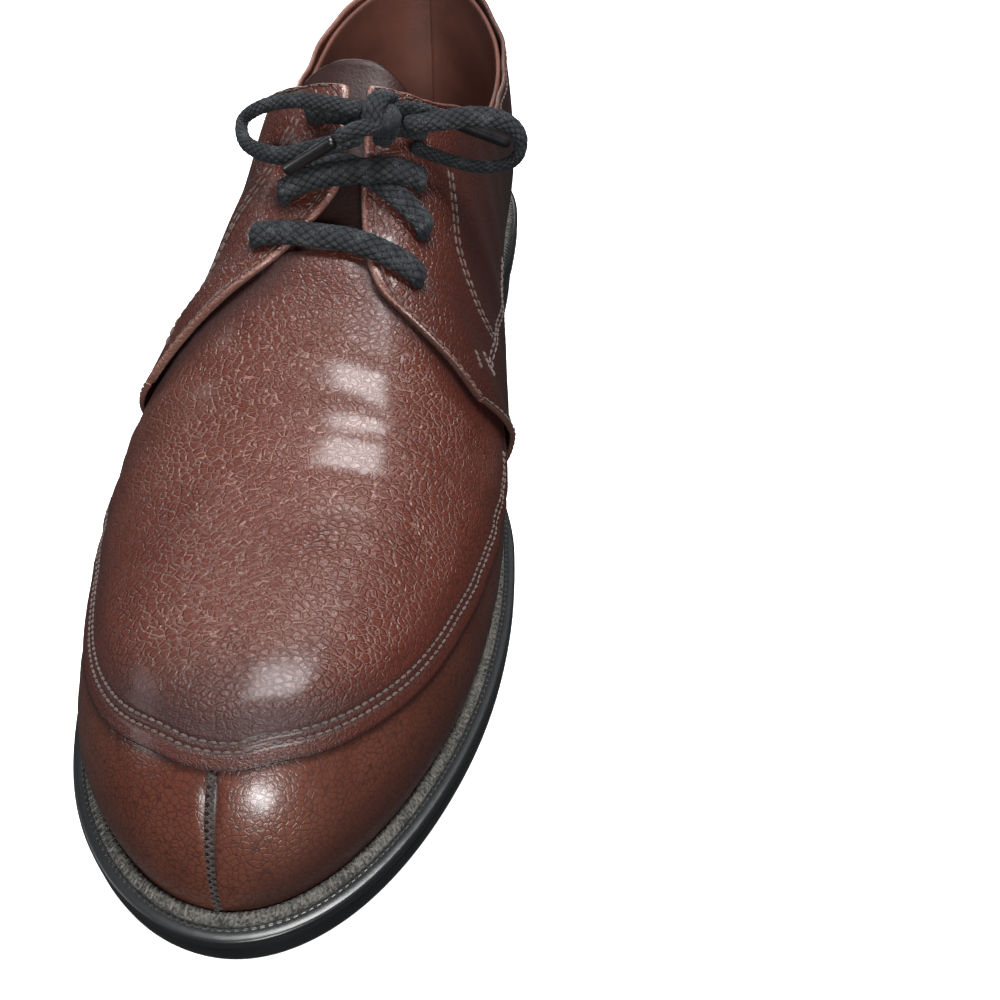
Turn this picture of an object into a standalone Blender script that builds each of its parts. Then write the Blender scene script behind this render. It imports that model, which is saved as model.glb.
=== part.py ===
"""Split toe derby, the wearer's right shoe, standing empty on its sole.

Frame: heel towards +Y, toe towards -Y, the foot's inner side towards +X, +Z up, ground at z = 0.
The leather pieces all follow one last: a point on it is given by `along` (0 at the back of the
heel, 1 at the tip of the toe), `side` (+1 inner, -1 outer) and `up` (0 at the feather line, where
the upper meets the sole, 1 on the ridge over the instep).
"""
import bpy
import bmesh
import numpy as np
from mathutils import Vector

# The last
LAST_LENGTH = 0.296       # feather line from heel to toe
BALL_HALF = 0.0462        # half breadth that the plan's shares multiply
MIDDLE = 0.0029           # from the shoe's own middle to the middle line of the heel
HEEL_LIFT = 0.0192        # how much higher the foot sits at the heel than at the ball
TOE_SPRING = 0.0080       # how far the tip of the toe lifts
INSTEP_RISE = 0.0820      # ridge above the feather line at half length
UPPER_SWELL = 0.0040      # how far the sides swell out above the feather line
SWELL_UP = 0.16           # where they swell most, a share of the way up
SWELL_FADE = 0.60         # the swell fades where the plan is narrower than this share
HEEL_CURVE = 0.0050       # how far the back of the heel bulges
HEEL_REACH = 0.12         # how far forward that bulge is felt, a share of the length
TOE_ROUND = 0.86          # where the ridge starts to turn down over the toe, a share of the length
TOE_POWER = 2.6           # squareness of that turn

# Leather
GAP = 0.00035             # between pieces that lie on each other
APRON_GAP = 0.00065       # under the apron, whose facets don't follow the upper's
UPPER_WALL = 0.0018
QUARTER_THICK = 0.0014
APRON_THICK = 0.0012
TONGUE_THICK = 0.0020
FACING_LIFT = 0.0021      # how far the facings' front corners stand off the vamp
LIFT_FROM = (0.525, 0.06) # where that lift starts, along and up
LIFT_OVER = (0.04, 0.16)  # and over what stretch it grows
INSOLE_THICK = 0.0024
INSOLE_PLAY = 0.0007

# Bottom
SOLE_THICK = 0.0071
SOLE_FLAT = 0.0004        # how much of the underside is ground flat under the ball
WELT_THICK = 0.0030
WELT_BEAD = 0.0007        # height of the stitched bead
WELT_INSIDE = 0.0042      # how far the welt reaches in under the upper
WELT_REACH = 0.0060       # how far it stands out round the forefoot
WAIST = (0.20, 0.62)      # the waist, where the edges are trimmed close, along the last
WAIST_EASE = 0.12         # how softly the trim comes in
WAIST_TRIM = 0.62         # and how much of the reach it takes
FOOT_CLEAR = 0.0004       # between the leather's foot and the stitched bead
SOLE_INSET = 0.0004
SOLE_ROUND = 0.0012       # how far the sole's corners are rounded in
TOP_PIECE_THICK = 0.0060
HEEL_TAPER = 0.0016
HEEL_INSET = 0.0008       # the heel stands this far inside the welt's edge
HEEL_BREAST = 0.272       # front face of the heel, a share of the length

# Opening and edges, as places on the last
FACING_TOP = 0.437        # top of the facings
OPEN_BACK = 0.30          # the facings' cuts run out into the collar here
THROAT_END = 0.573        # where the opening ends at the vamp
THROAT_HALF = 0.0115      # half width of the opening at that end
THROAT_CORNER = 0.0052    # radius of its corners
THROAT_NARROW = 0.0071    # half width of the opening at the top of the facings
THROAT_ASIDE = 0.0038     # how far the opening's middle stands inside the ridge
QUARTER_TIP = 0.600       # front corners of the quarters
TONGUE_SPAN = (0.418, 0.612)
TONGUE_FROM = 0.70        # how far down each side the tongue reaches
BACK_SEAM = 0.0010        # between the quarters at the back of the heel

# Laces
EYELET_DIAMETER = 0.0038
LACE_WIDTH = 0.0060
LACE_THICK = 0.0032
CORD_DIAMETER = 0.0042
AGLET_DIAMETER = 0.0031
AGLET_LENGTH = 0.0150
KNOT_SIZE = (0.0044, 0.0066, 0.0042)
FEED_DROP = 0.0030        # how far under the knot's centre the feeds come in
FEED_WIDTH = 0.0048
END_DIAMETER = 0.0038
LACE_CLEAR = 0.0004
LACE_TAPER = 0.62         # how far a lace's closed end is drawn in
BAR_ARCH = 0.0006         # how high the middle of each run stands over the leather
OVER_ARCH = 0.0026
UNDER_ARCH = 0.0002

RIBS = 40                 # ribs across the last
COURSES = 11              # courses from the feather line to the ridge
CROWDING = 0.35           # how much closer together the courses lie at the feather line
APRON_RIBS = 20           # ribs across the apron
EDGE_STEPS = 36           # steps round the sole's edge on each side

# Plan of the last: shares of BALL_HALF
PLAN = np.array([
    # along, inner half, outer half, bend of the middle line
    (0.00, 1.02, 1.02, 0.00),
    (0.10, 0.98, 0.99, 0.01),
    (0.18, 0.82, 0.88, 0.03),
    (0.30, 0.66, 0.80, 0.06),
    (0.42, 0.66, 0.82, 0.09),
    (0.54, 0.775, 1.08, 0.10),
    (0.66, 0.955, 1.27, 0.085),
    (0.72, 1.025, 1.28, 0.075),
    (0.80, 1.10, 1.27, 0.06),
    (0.88, 1.145, 1.31, 0.055),
    (0.94, 1.17, 1.345, 0.06),
    (1.00, 1.20, 1.33, 0.065),
])

# Sections of the last: the ridge as a share of INSTEP_RISE, the swells of UPPER_SWELL
SECTION = np.array([
    # along, ridge, crown power, wall power, inner swell, outer swell
    (0.00, 1.90, 1.30, 1.00, 1.00, 1.00),
    (0.10, 1.88, 2.05, 1.00, 1.00, 1.00),
    (0.20, 1.75, 1.75, 1.00, 1.00, 0.90),
    (0.30, 1.52, 1.15, 1.00, 1.25, 0.70),
    (0.40, 1.27, 0.86, 1.00, 1.45, 0.60),
    (0.50, 1.00, 0.74, 0.98, 1.40, 0.65),
    (0.60, 0.785, 0.80, 0.92, 1.10, 0.80),
    (0.70, 0.625, 0.82, 0.88, 0.80, 0.75),
    (0.80, 0.555, 0.80, 0.85, 0.75, 0.75),
    (0.90, 0.495, 0.80, 0.85, 0.62, 0.62),
    (1.00, 0.455, 0.80, 0.85, 0.50, 0.50),
])

# Height of the feather line: shares of the heel's lift and of the toe spring
LIFT = np.array([
    # along, heel lift, toe spring
    (0.00, 1.00, 0.00),
    (0.10, 0.98, 0.00),
    (0.20, 0.92, 0.00),
    (0.30, 0.76, 0.00),
    (0.42, 0.42, 0.00),
    (0.54, 0.14, 0.00),
    (0.66, 0.00, 0.00),
    (0.74, 0.00, 0.06),
    (0.82, 0.00, 0.25),
    (0.90, 0.00, 0.55),
    (1.00, 0.00, 1.00),
])

# Back of the heel in side view: shares of HEEL_CURVE
HEEL_BACK = np.array([
    # up, out
    (0.00, 0.00),
    (0.10, 0.70),
    (0.20, 1.00),
    (0.35, 0.60),
    (0.60, -0.80),
    (1.00, -4.00),
])

# Topline: its height over the feather line as a share of INSTEP_RISE
TOPLINE = np.array([
    # along, height
    (0.00, 0.760),
    (0.08, 0.700),
    (0.16, 0.640),
    (0.24, 0.665),
    (0.32, 0.800),
    (0.38, 0.985),
    (0.437, 1.165),
    (0.47, 1.400),
])

# Edges of the facings: how far each stands from the ridge, shares of BALL_HALF
FACING = np.array([
    # along, outer, inner
    (0.420, 0.04, 0.085),
    (0.460, 0.02, 0.085),
    (0.503, 0.03, 0.100),
    (0.536, 0.24, 0.140),
    (0.556, 0.38, 0.185),
    (0.572, 0.57, 0.270),
    (0.585, 0.76, 0.410),
    (0.594, 0.92, 0.620),
    (0.600, 1.10, 0.880),
])

# Front edge of the quarters below their corners
QUARTER_FRONT = np.array([
    # along, up outer, up inner
    (0.600, 0.44, 0.33),
    (0.588, 0.30, 0.24),
    (0.570, 0.18, 0.15),
    (0.548, 0.08, 0.07),
    (0.530, 0.00, 0.00),
])

# Edge of the apron, from under the facings to its tip on the ridge
APRON = np.array([
    # along, up
    (0.577, 0.165),
    (0.600, 0.190),
    (0.680, 0.265),
    (0.740, 0.310),
    (0.800, 0.380),
    (0.852, 0.450),
    (0.890, 0.530),
    (0.922, 0.640),
    (0.941, 0.780),
    (0.949, 0.900),
    (0.951, 1.000),
])

# Profile of the welt, from the leather's foot out and round its edge
WELT_PROFILE = np.array([
    # share of the way out, bead, drop as a share of WELT_THICK
    (0.00, 0.0, 0.00),
    (0.28, 1.0, 0.00),
    (0.54, 0.0, 0.00),
    (0.94, 0.0, 0.07),
    (1.00, 0.0, 0.27),
    (1.00, 0.0, 0.87),
    (0.94, 0.0, 1.00),
])

# Profile of the outsole's edge
SOLE_PROFILE = np.array([
    # growth as a share of SOLE_ROUND, share of the way up from the underside
    (-0.65, 1.00),
    (0.00, 0.90),
    (0.25, 0.50),
    (-0.15, 0.17),
    (-1.00, 0.00),
])

# Eyelets
EYELETS = np.array([
    # along outer, up outer, along inner, up inner
    (0.530, 0.780, 0.549, 0.730),
    (0.506, 0.849, 0.511, 0.712),
    (0.479, 0.868, 0.479, 0.730),
    (0.456, 0.915, 0.450, 0.760),
])

# The bow, chosen by hand
KNOT_CENTRE = (0.0169, 0.0025, 0.1138)
LEFT_LOOP = (
    (0.0124, 0.0030, 0.1156), (0.0025, 0.0050, 0.1158), (-0.0060, 0.0080, 0.1145),
    (-0.0146, 0.0109, 0.1110), (-0.0207, 0.0130, 0.1059), (-0.0175, 0.0050, 0.1042),
    (-0.0078, -0.0017, 0.1052), (0.0022, -0.0018, 0.1078), (0.0128, -0.0005, 0.1111))
RIGHT_LOOP = (
    (0.0219, 0.0036, 0.1121), (0.0297, 0.0076, 0.1116), (0.0378, 0.0102, 0.1118),
    (0.0448, 0.0123, 0.1099), (0.0486, 0.0134, 0.1054), (0.0472, 0.0130, 0.0997),
    (0.0400, 0.0108, 0.0985), (0.0317, 0.0084, 0.1012), (0.0233, 0.0051, 0.1058))
FRONT_END = (
    (0.0161, -0.0036, 0.1154), (0.0127, -0.0060, 0.1151), (0.0095, -0.0066, 0.1138),
    (0.0079, -0.0068, 0.1127))
BACK_END = (
    (0.0201, 0.0073, 0.1139), (0.0248, 0.0105, 0.1124), (0.0290, 0.0125, 0.1102),
    (0.0330, 0.0140, 0.1080))

SIDE_NAME = {1: "inner", -1: "outer"}


def clear_scene():
    for thing in list(bpy.data.objects):
        bpy.data.objects.remove(thing, do_unlink=True)
    for group in list(bpy.data.collections):
        bpy.data.collections.remove(group)


def smooth(table, column, at):
    """Natural cubic through one column of a table."""
    xs, ys = table[:, 0], table[:, column]
    step = np.diff(xs)
    system, right = np.eye(len(xs)), np.zeros(len(xs))
    for i in range(1, len(xs) - 1):
        system[i, i - 1:i + 2] = step[i - 1], 2 * (step[i - 1] + step[i]), step[i]
        right[i] = 6 * ((ys[i + 1] - ys[i]) / step[i] - (ys[i] - ys[i - 1]) / step[i - 1])
    bend = np.linalg.solve(system, right)
    at = np.asarray(at, float)
    i = np.clip(np.searchsorted(xs, at) - 1, 0, len(xs) - 2)
    d, h = at - xs[i], step[i]
    slope = (ys[i + 1] - ys[i]) / h - h * (2 * bend[i] + bend[i + 1]) / 6
    return ys[i] + d * slope + d * d * bend[i] / 2 + d ** 3 * (bend[i + 1] - bend[i]) / (6 * h)


def ease(x):
    x = np.clip(x, 0, 1)
    return x * x * (3 - 2 * x)


def lift(along):
    """How far the bottom of the shoe rises at the heel and the toe."""
    return HEEL_LIFT * smooth(LIFT, 1, along) + TOE_SPRING * smooth(LIFT, 2, along)


def seat(along):
    """Height of the feather line: outsole and welt lie under it."""
    return lift(along) + SOLE_THICK - SOLE_FLAT + WELT_THICK + 2 * GAP


def sole_under(along):
    """Underside of the outsole, ground flat under the ball."""
    return np.maximum(lift(along) - SOLE_FLAT, 0)


def middle_line(along):
    return MIDDLE + BALL_HALF * smooth(PLAN, 3, along)


def ridge_rise(along):
    """Height of the ridge over the feather line, turned down over the toe."""
    nose = np.clip((along - TOE_ROUND) / (1 - TOE_ROUND), 0, 1)
    return INSTEP_RISE * smooth(SECTION, 1, along) * np.sqrt(np.clip(1 - nose ** TOE_POWER, 0, None))


def last_point(along, side, up):
    """Point of the last: a section between an ellipse and a box, swollen above the feather line."""
    along, side, up = np.broadcast_arrays(np.asarray(along, float), side, np.asarray(up, float))
    turn = up * np.pi / 2
    over, rise = np.clip(np.cos(turn), 0, 1), np.clip(np.sin(turn), 0, 1)
    closing = 2 * np.sqrt(np.clip(along * (1 - along), 0, None))
    half = np.where(side > 0, smooth(PLAN, 1, along), smooth(PLAN, 2, along)) * closing
    swell = np.where(side > 0, smooth(SECTION, 4, along), smooth(SECTION, 5, along))
    rising = up / SWELL_UP
    bulge = UPPER_SWELL * swell * rising * np.exp(1 - rising) * over * np.minimum(1, closing / SWELL_FADE)
    heel = np.clip(1 - along / HEEL_REACH, 0, 1) ** 2 * HEEL_CURVE * smooth(HEEL_BACK, 1, up)
    x = middle_line(along) + side * (BALL_HALF * half * over ** smooth(SECTION, 2, along) + bulge)
    y = LAST_LENGTH * (0.5 - along) + heel
    z = seat(along) + ridge_rise(along) * rise ** smooth(SECTION, 3, along)
    return np.stack([x, y, z], -1)


def last_normal(along, side, up):
    """Outward normal of the last, from small steps along it and up it, never pointing down."""
    along, side, up = np.broadcast_arrays(np.asarray(along, float), side, np.asarray(up, float))
    step = 1e-4
    a, u = np.clip(along, 4e-4, 1 - 4e-4), np.clip(up, 2e-3, 1 - 2e-3)
    forward = last_point(a + step, side, u) - last_point(a - step, side, u)
    upward = last_point(a, side, u + step) - last_point(a, side, u - step)
    out = np.cross(upward, forward) * np.asarray(side, float)[..., None]
    out[..., 0] = np.where((along < 4e-4) | (up > 1 - 1e-6), 0, out[..., 0])
    out[..., 2] = np.maximum(out[..., 2], 0)
    return out / np.linalg.norm(out, axis=-1, keepdims=True)


def on_last(along, side, up, off=0.0):
    """Point that stands `off` outside the last."""
    return last_point(along, side, up) + last_normal(along, side, up) * np.asarray(off, float)[..., None]


def rib_places():
    return (1 - np.cos(np.linspace(0, np.pi, RIBS + 1))) / 2


def course_places():
    """Courses up one side, closer together in the swell above the feather line."""
    even = np.linspace(0, 1, COURSES + 1)
    return even - CROWDING * np.sin(np.pi * even) / np.pi * (1 - even)


def material(name, colour, roughness, metallic=0.0):
    mat = bpy.data.materials.new(name)
    mat.use_nodes = True
    shader = mat.node_tree.nodes["Principled BSDF"]
    shader.inputs["Base Color"].default_value = (*colour, 1.0)
    shader.inputs["Roughness"].default_value = roughness
    shader.inputs["Metallic"].default_value = metallic
    return mat


def add_mesh(name, points, faces, group, mat=None, closed=True):
    """Object from points and faces, with coinciding points merged."""
    bm = bmesh.new()
    verts = [bm.verts.new(p) for p in np.asarray(points).reshape(-1, 3)]
    for face in faces:
        bm.faces.new([verts[i] for i in face])
    bmesh.ops.remove_doubles(bm, verts=bm.verts, dist=1e-6)
    if closed:
        bmesh.ops.recalc_face_normals(bm, faces=bm.faces)
    mesh = bpy.data.meshes.new(name)
    bm.to_mesh(mesh)
    bm.free()
    obj = bpy.data.objects.new(name, mesh)
    group.objects.link(obj)
    if mat:
        mesh.materials.append(mat)
        mesh.shade_smooth()
        mesh.set_sharp_from_angle(angle=np.radians(35))
    return obj


def grid_faces(rows, columns):
    return [(r * columns + c, (r + 1) * columns + c, (r + 1) * columns + c + 1, r * columns + c + 1)
            for r in range(rows - 1) for c in range(columns - 1)]


def wrapped(along, wrap):
    """Grid of places on the last: ribs along it, each through the same (side, up) pairs."""
    side, up = np.array(wrap).T
    return np.broadcast_arrays(np.asarray(along)[:, None], side, up)


def over_the_top(courses):
    """Both sides from one feather line over the ridge to the other."""
    return [(-1, u) for u in courses] + [(1, u) for u in courses[::-1][1:]]


def leather(name, places, off, wall, group, mat):
    """Sheet of leather over the last: an open grid, `off` outside it, thickened inwards."""
    along, side, up = places
    points = on_last(along, side, up, off)
    obj = add_mesh(name, points, grid_faces(*along.shape), group, mat, False)
    shell = obj.modifiers.new("wall", "SOLIDIFY")
    shell.thickness = wall
    shell.offset = -1
    return obj


def prism(name, outline, low, high, axis, group):
    """Cutter: a flat outline in plan (axis Z) or in side view (axis X), drawn out between two levels."""
    outline = np.asarray(outline, float)
    count = len(outline)
    points = np.zeros((2, count, 3))
    for k, level in enumerate((low, high)):
        if axis == "Z":
            points[k] = np.column_stack([outline, np.full(count, level)])
        else:
            points[k] = np.column_stack([np.full(count, level), outline])
    faces = [tuple(range(count)), tuple(range(count, 2 * count))]
    faces += [(i, (i + 1) % count, count + (i + 1) % count, count + i) for i in range(count)]
    obj = add_mesh(name, points, faces, group)
    obj.hide_render = True
    obj.display_type = "WIRE"
    return obj


def cut(obj, cutter, operation="DIFFERENCE"):
    step = obj.modifiers.new(cutter.name, "BOOLEAN")
    step.operation = operation
    step.object = cutter
    return step


def topline_height(along):
    return seat(along) + INSTEP_RISE * smooth(TOPLINE, 1, along)


def topline_cutter(group):
    """Everything over the topline, in side view."""
    along = np.linspace(TOPLINE[0, 0], TOPLINE[-1, 0], 24)
    y = LAST_LENGTH * (0.5 - along)
    z = topline_height(along)
    beyond, sky = LAST_LENGTH, 3 * INSTEP_RISE
    outline = [(beyond, z[0]), *zip(y, z), (y[-1], sky), (beyond, sky)]
    return prism("cut_topline", outline, -2 * BALL_HALF, 2 * BALL_HALF, "X", group)


def facing_cutter(side, group):
    """Everything in plan between one facing's edge and the other side, and in front of it."""
    column = 2 if side > 0 else 1
    along = np.linspace(FACING[0, 0], FACING[-1, 0], 22)
    x = middle_line(along) + side * BALL_HALF * np.interp(along, FACING[:, 0], FACING[:, column])
    y = LAST_LENGTH * (0.5 - along)
    far, back, front = 2 * BALL_HALF * side, LAST_LENGTH * (0.5 - OPEN_BACK), -LAST_LENGTH
    outline = [(x[0], back), *zip(x, y), (far, y[-1]), (far, front), (-far, front), (-far, back)]
    return prism("cut_facing_" + SIDE_NAME[side], outline, -0.01, 3 * INSTEP_RISE, "Z", group)


def front_edge_cutter(side, group):
    """Everything in side view in front of and below the quarter's front edge."""
    column = 2 if side > 0 else 1
    along = QUARTER_FRONT[:, 0]
    points = last_point(along, side, QUARTER_FRONT[:, column])
    y, z = points[:, 1], points[:, 2]
    front, under = -LAST_LENGTH, z[-1] - SOLE_THICK
    outline = [(front, z[0]), *zip(y, z), (y[-1] + SOLE_THICK / 3, under), (front, under)]
    ends = sorted((MIDDLE, 2 * BALL_HALF * side))
    return prism("cut_front_" + SIDE_NAME[side], outline, *ends, "X", group)


def throat_cutter(group):
    """The opening under the laces, rounded at its front end."""
    middle = middle_line(THROAT_END) + THROAT_ASIDE
    y_end, y_top, y_back = (LAST_LENGTH * (0.5 - along) for along in (THROAT_END, FACING_TOP, OPEN_BACK))
    straight = THROAT_HALF - THROAT_CORNER
    right = [(middle + straight + THROAT_CORNER * np.sin(bend), y_end + THROAT_CORNER * (1 - np.cos(bend)))
             for bend in np.linspace(0, np.pi / 2, 5)]
    left = [(2 * middle - x, y) for x, y in right[::-1]]
    outline = [*right, (middle + THROAT_NARROW, y_top), (middle + THROAT_NARROW, y_back),
               (middle - THROAT_NARROW, y_back), (middle - THROAT_NARROW, y_top), *left]
    low = seat(THROAT_END) + ridge_rise(THROAT_END) / 2
    return prism("cut_throat", outline, low, 3 * INSTEP_RISE, "Z", group)


def quarter_off(along, side, up):
    """Outer face of a quarter: it lies on the lining and lifts over the apron at its front."""
    grown = ease((along - LIFT_FROM[0]) / LIFT_OVER[0]) * ease((up - LIFT_FROM[1]) / LIFT_OVER[1])
    return GAP + QUARTER_THICK + FACING_LIFT * grown


def eyelet_places():
    """Rows of side, along and up."""
    return [(side, row[column], row[column + 1]) for row in EYELETS for side, column in ((-1, 0), (1, 2))]


def eyelet_cutter(group):
    """Punches through the facings, square to the leather."""
    bm = bmesh.new()
    for side, along, up in eyelet_places():
        centre, out = last_point(along, side, up), last_normal(along, side, up)
        turn = Vector((0, 0, 1)).rotation_difference(Vector(out)).to_matrix().to_4x4()
        turn.translation = Vector(centre + out * QUARTER_THICK)
        bmesh.ops.create_cone(bm, cap_ends=True, segments=12, radius1=EYELET_DIAMETER / 2,
                              radius2=EYELET_DIAMETER / 2, depth=6 * UPPER_WALL, matrix=turn)
    mesh = bpy.data.meshes.new("eyelet_punch")
    bm.to_mesh(mesh)
    bm.free()
    obj = bpy.data.objects.new("eyelet_punch", mesh)
    group.objects.link(obj)
    obj.hide_render = True
    obj.display_type = "WIRE"
    return obj


def edge_line(along, side, grow):
    """Feather line moved outwards in plan by `grow`."""
    along = np.asarray(along, float)
    angle = np.arccos(np.clip(1 - 2 * along, -1, 1))

    def plan(a):
        return last_point((1 - np.cos(a)) / 2, side, np.zeros_like(a))[..., :2]

    ahead = plan(angle + 1e-3) - plan(angle - 1e-3)
    ends = (angle < 1e-3) | (angle > np.pi - 1e-3)
    ahead[ends] = (np.where(angle < 1e-3, 1.0, -1.0) * side)[ends, None] * (1.0, 0.0)
    out = np.stack([-ahead[:, 1], ahead[:, 0]], -1) * side
    out /= np.linalg.norm(out, axis=1, keepdims=True)
    return plan(angle) + out * np.asarray(grow, float)[..., None]


def welt_reach(along):
    """The welt stands out round the forefoot and is trimmed close at the waist."""
    waist = ease((along - WAIST[0]) / WAIST_EASE) * ease((WAIST[1] - along) / WAIST_EASE)
    return WELT_REACH * (1 - WAIST_TRIM * waist)


def quarter_foot(along):
    """How far the leather's outer face stands from the feather line."""
    behind = ease((QUARTER_TIP + LIFT_OVER[0] / 2 - np.asarray(along)) / LIFT_OVER[0])
    return FOOT_CLEAR + (GAP + QUARTER_THICK) * behind


def edge_stations(low=0.0, high=1.0):
    a, b = np.arccos(1 - 2 * low), np.arccos(1 - 2 * high)
    count = max(6, int(round(EDGE_STEPS * (b - a) / np.pi)))
    return (1 - np.cos(np.linspace(a, b, count + 1))) / 2


def slab(name, stations, levels, group, mat):
    """Solid with the last's outline, from rows of (grow, height) functions going down its side."""
    rows = []
    for grow, height in levels:
        z = height(stations)
        outer = np.column_stack([edge_line(stations, -1, grow(stations)), z])
        inner = np.column_stack([edge_line(stations, 1, grow(stations)), z])
        rows.append(np.concatenate([outer[::-1], inner]))
    points = np.array(rows)
    count, size = len(stations), points.shape[1]
    faces = [(r * size + c, r * size + c + 1, (r + 1) * size + c + 1, (r + 1) * size + c)
             for r in range(len(rows) - 1) for c in range(size - 1)]
    for r in (0, len(rows) - 1):
        base = r * size
        faces += [(base + count - 1 - k, base + count - 2 - k, base + count + 1 + k, base + count + k)
                  for k in range(count - 1)]
    if stations[-1] < 1:
        faces += [(r * size, (r + 1) * size, (r + 2) * size - 1, (r + 1) * size - 1)
                  for r in range(len(rows) - 1)]
    return add_mesh(name, points, faces, group, mat)


def ring(name, stations, profile, group, mat):
    """Closed band round the last from a profile of (grow, height) functions."""
    rows = []
    for grow, height in profile:
        z = height(stations)
        outer = np.column_stack([edge_line(stations, -1, grow(stations)), z])
        inner = np.column_stack([edge_line(stations, 1, grow(stations)), z])
        rows.append(np.concatenate([outer, inner[::-1][1:-1]]))
    points = np.array(rows)
    count, size = points.shape[:2]
    faces = [(r * size + c, r * size + (c + 1) % size,
              (r + 1) % count * size + (c + 1) % size, (r + 1) % count * size + c)
             for r in range(count) for c in range(size)]
    return add_mesh(name, points, faces, group, mat)


def fixed(value):
    return lambda along: np.full_like(np.asarray(along, float), value)


def make_upper(group, cutters, mat):
    places = wrapped(rib_places(), over_the_top(course_places()))
    upper = leather("upper", places, 0.0, UPPER_WALL, group, mat)
    for cutter in ("topline", "throat", "punch"):
        cut(upper, cutters[cutter])
    return upper


def make_quarter(side, group, cutters, mat):
    """Quarter from the back seam, where the last's sides are BACK_SEAM apart, to past its front edge."""
    seam = (BACK_SEAM / (4 * BALL_HALF * PLAN[0, 1])) ** 2
    along = rib_places()
    along = np.concatenate([[seam], along[(along > seam) & (along < QUARTER_TIP + LIFT_OVER[0])]])
    courses = course_places()
    places = wrapped(along, [(side, u) for u in (courses if side < 0 else courses[::-1])])
    quarter = leather("quarter_" + SIDE_NAME[side], places, quarter_off(*places), QUARTER_THICK, group, mat)
    for cutter in ("topline", "facing_" + SIDE_NAME[side], "front_" + SIDE_NAME[side], "punch"):
        cut(quarter, cutters[cutter])
    return quarter


def make_apron(group, mat):
    """Apron: ribs at even steps along its edge, each running up from that edge over the ridge."""
    travel = np.concatenate([[0], np.cumsum(np.hypot(*np.diff(APRON, axis=0).T))])
    edge = np.column_stack([travel, APRON])
    steps = np.linspace(0, travel[-1], APRON_RIBS + 1)
    foot = np.minimum(smooth(edge, 2, steps), 1)[:, None]
    side, share = np.array(over_the_top(np.linspace(0, 1, COURSES - 2))).T
    places = np.broadcast_arrays(smooth(edge, 1, steps)[:, None], side, foot + (1 - foot) * share)
    return leather("apron", places, APRON_GAP + APRON_THICK, APRON_THICK, group, mat)


def make_tongue(group, mat):
    along = rib_places()
    along = along[(along > TONGUE_SPAN[0]) & (along < TONGUE_SPAN[1])]
    courses = course_places()
    courses = courses[courses > TONGUE_FROM]
    places = wrapped(along, over_the_top(courses))
    return leather("tongue", places, -UPPER_WALL - GAP, TONGUE_THICK, group, mat)


def make_insole(group, mat):
    inset = fixed(-UPPER_WALL - INSOLE_PLAY)
    levels = [(inset, lambda a: seat(a) + INSOLE_THICK), (inset, seat)]
    stations = edge_stations(0.0, 1.0)
    return slab("insole", stations, levels, group, mat)


def make_welt(group, mat):
    """Welt with a stitched bead against the upper and a plain lip outside it."""
    def out(share):
        return lambda a: quarter_foot(a) + (welt_reach(a) - quarter_foot(a)) * share

    def level(bead, drop):
        return lambda a: (seat(a) - GAP - WELT_THICK * drop
                          + WELT_BEAD * bead * (welt_reach(a) - quarter_foot(a)) / WELT_REACH)

    profile = [(fixed(-WELT_INSIDE), level(0.0, 0.0))]
    profile += [(out(share), level(bead, drop)) for share, bead, drop in WELT_PROFILE]
    profile += [(fixed(-WELT_INSIDE), level(0.0, 1.0))]
    return ring("welt", edge_stations(), profile, group, mat)


def sole_edge(extra):
    """Growth of the sole's edge, inside the welt's."""
    return lambda a: welt_reach(a) - SOLE_INSET + extra


def make_outsole(group, mat):
    def level(share):
        return lambda a: sole_under(a) * (1 - share) + (seat(a) - 2 * GAP - WELT_THICK) * share

    levels = [(sole_edge(grow * SOLE_ROUND), level(share)) for grow, share in SOLE_PROFILE]
    return slab("outsole", edge_stations(), levels, group, mat)


def make_heel(group, mats):
    """Stacked heel and its top piece, drawn in a little towards the ground."""
    stations = edge_stations(0.0, HEEL_BREAST)
    joint = TOP_PIECE_THICK / HEEL_LIFT
    high, low, foot = (sole_edge(-HEEL_INSET - HEEL_TAPER * (1 - share)) for share in (1.0, joint, 0.0))
    slab("heel", stations, [(high, lambda a: sole_under(a) - GAP), (low, fixed(TOP_PIECE_THICK + GAP))],
         group, mats["heel"])
    slab("top_piece", stations, [(low, fixed(TOP_PIECE_THICK)), (foot, fixed(0.0))], group, mats["rubber"])


def spline_through(points, count):
    """Catmull-Rom curve through hand-chosen points."""
    p = np.asarray(points, float)
    p = np.vstack([2 * p[0] - p[1], p, 2 * p[-1] - p[-2]])
    spans = len(p) - 3
    at = np.linspace(0, spans, count)
    i = np.minimum(at.astype(int), spans - 1)
    f = (at - i)[:, None]
    a, b, c, d = p[i], p[i + 1], p[i + 2], p[i + 3]
    bend, twist = 2 * a - 5 * b + 4 * c - d, 3 * b - a - 3 * c + d
    return b + ((c - a) * f + bend * f ** 2 + twist * f ** 3) / 2


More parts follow.
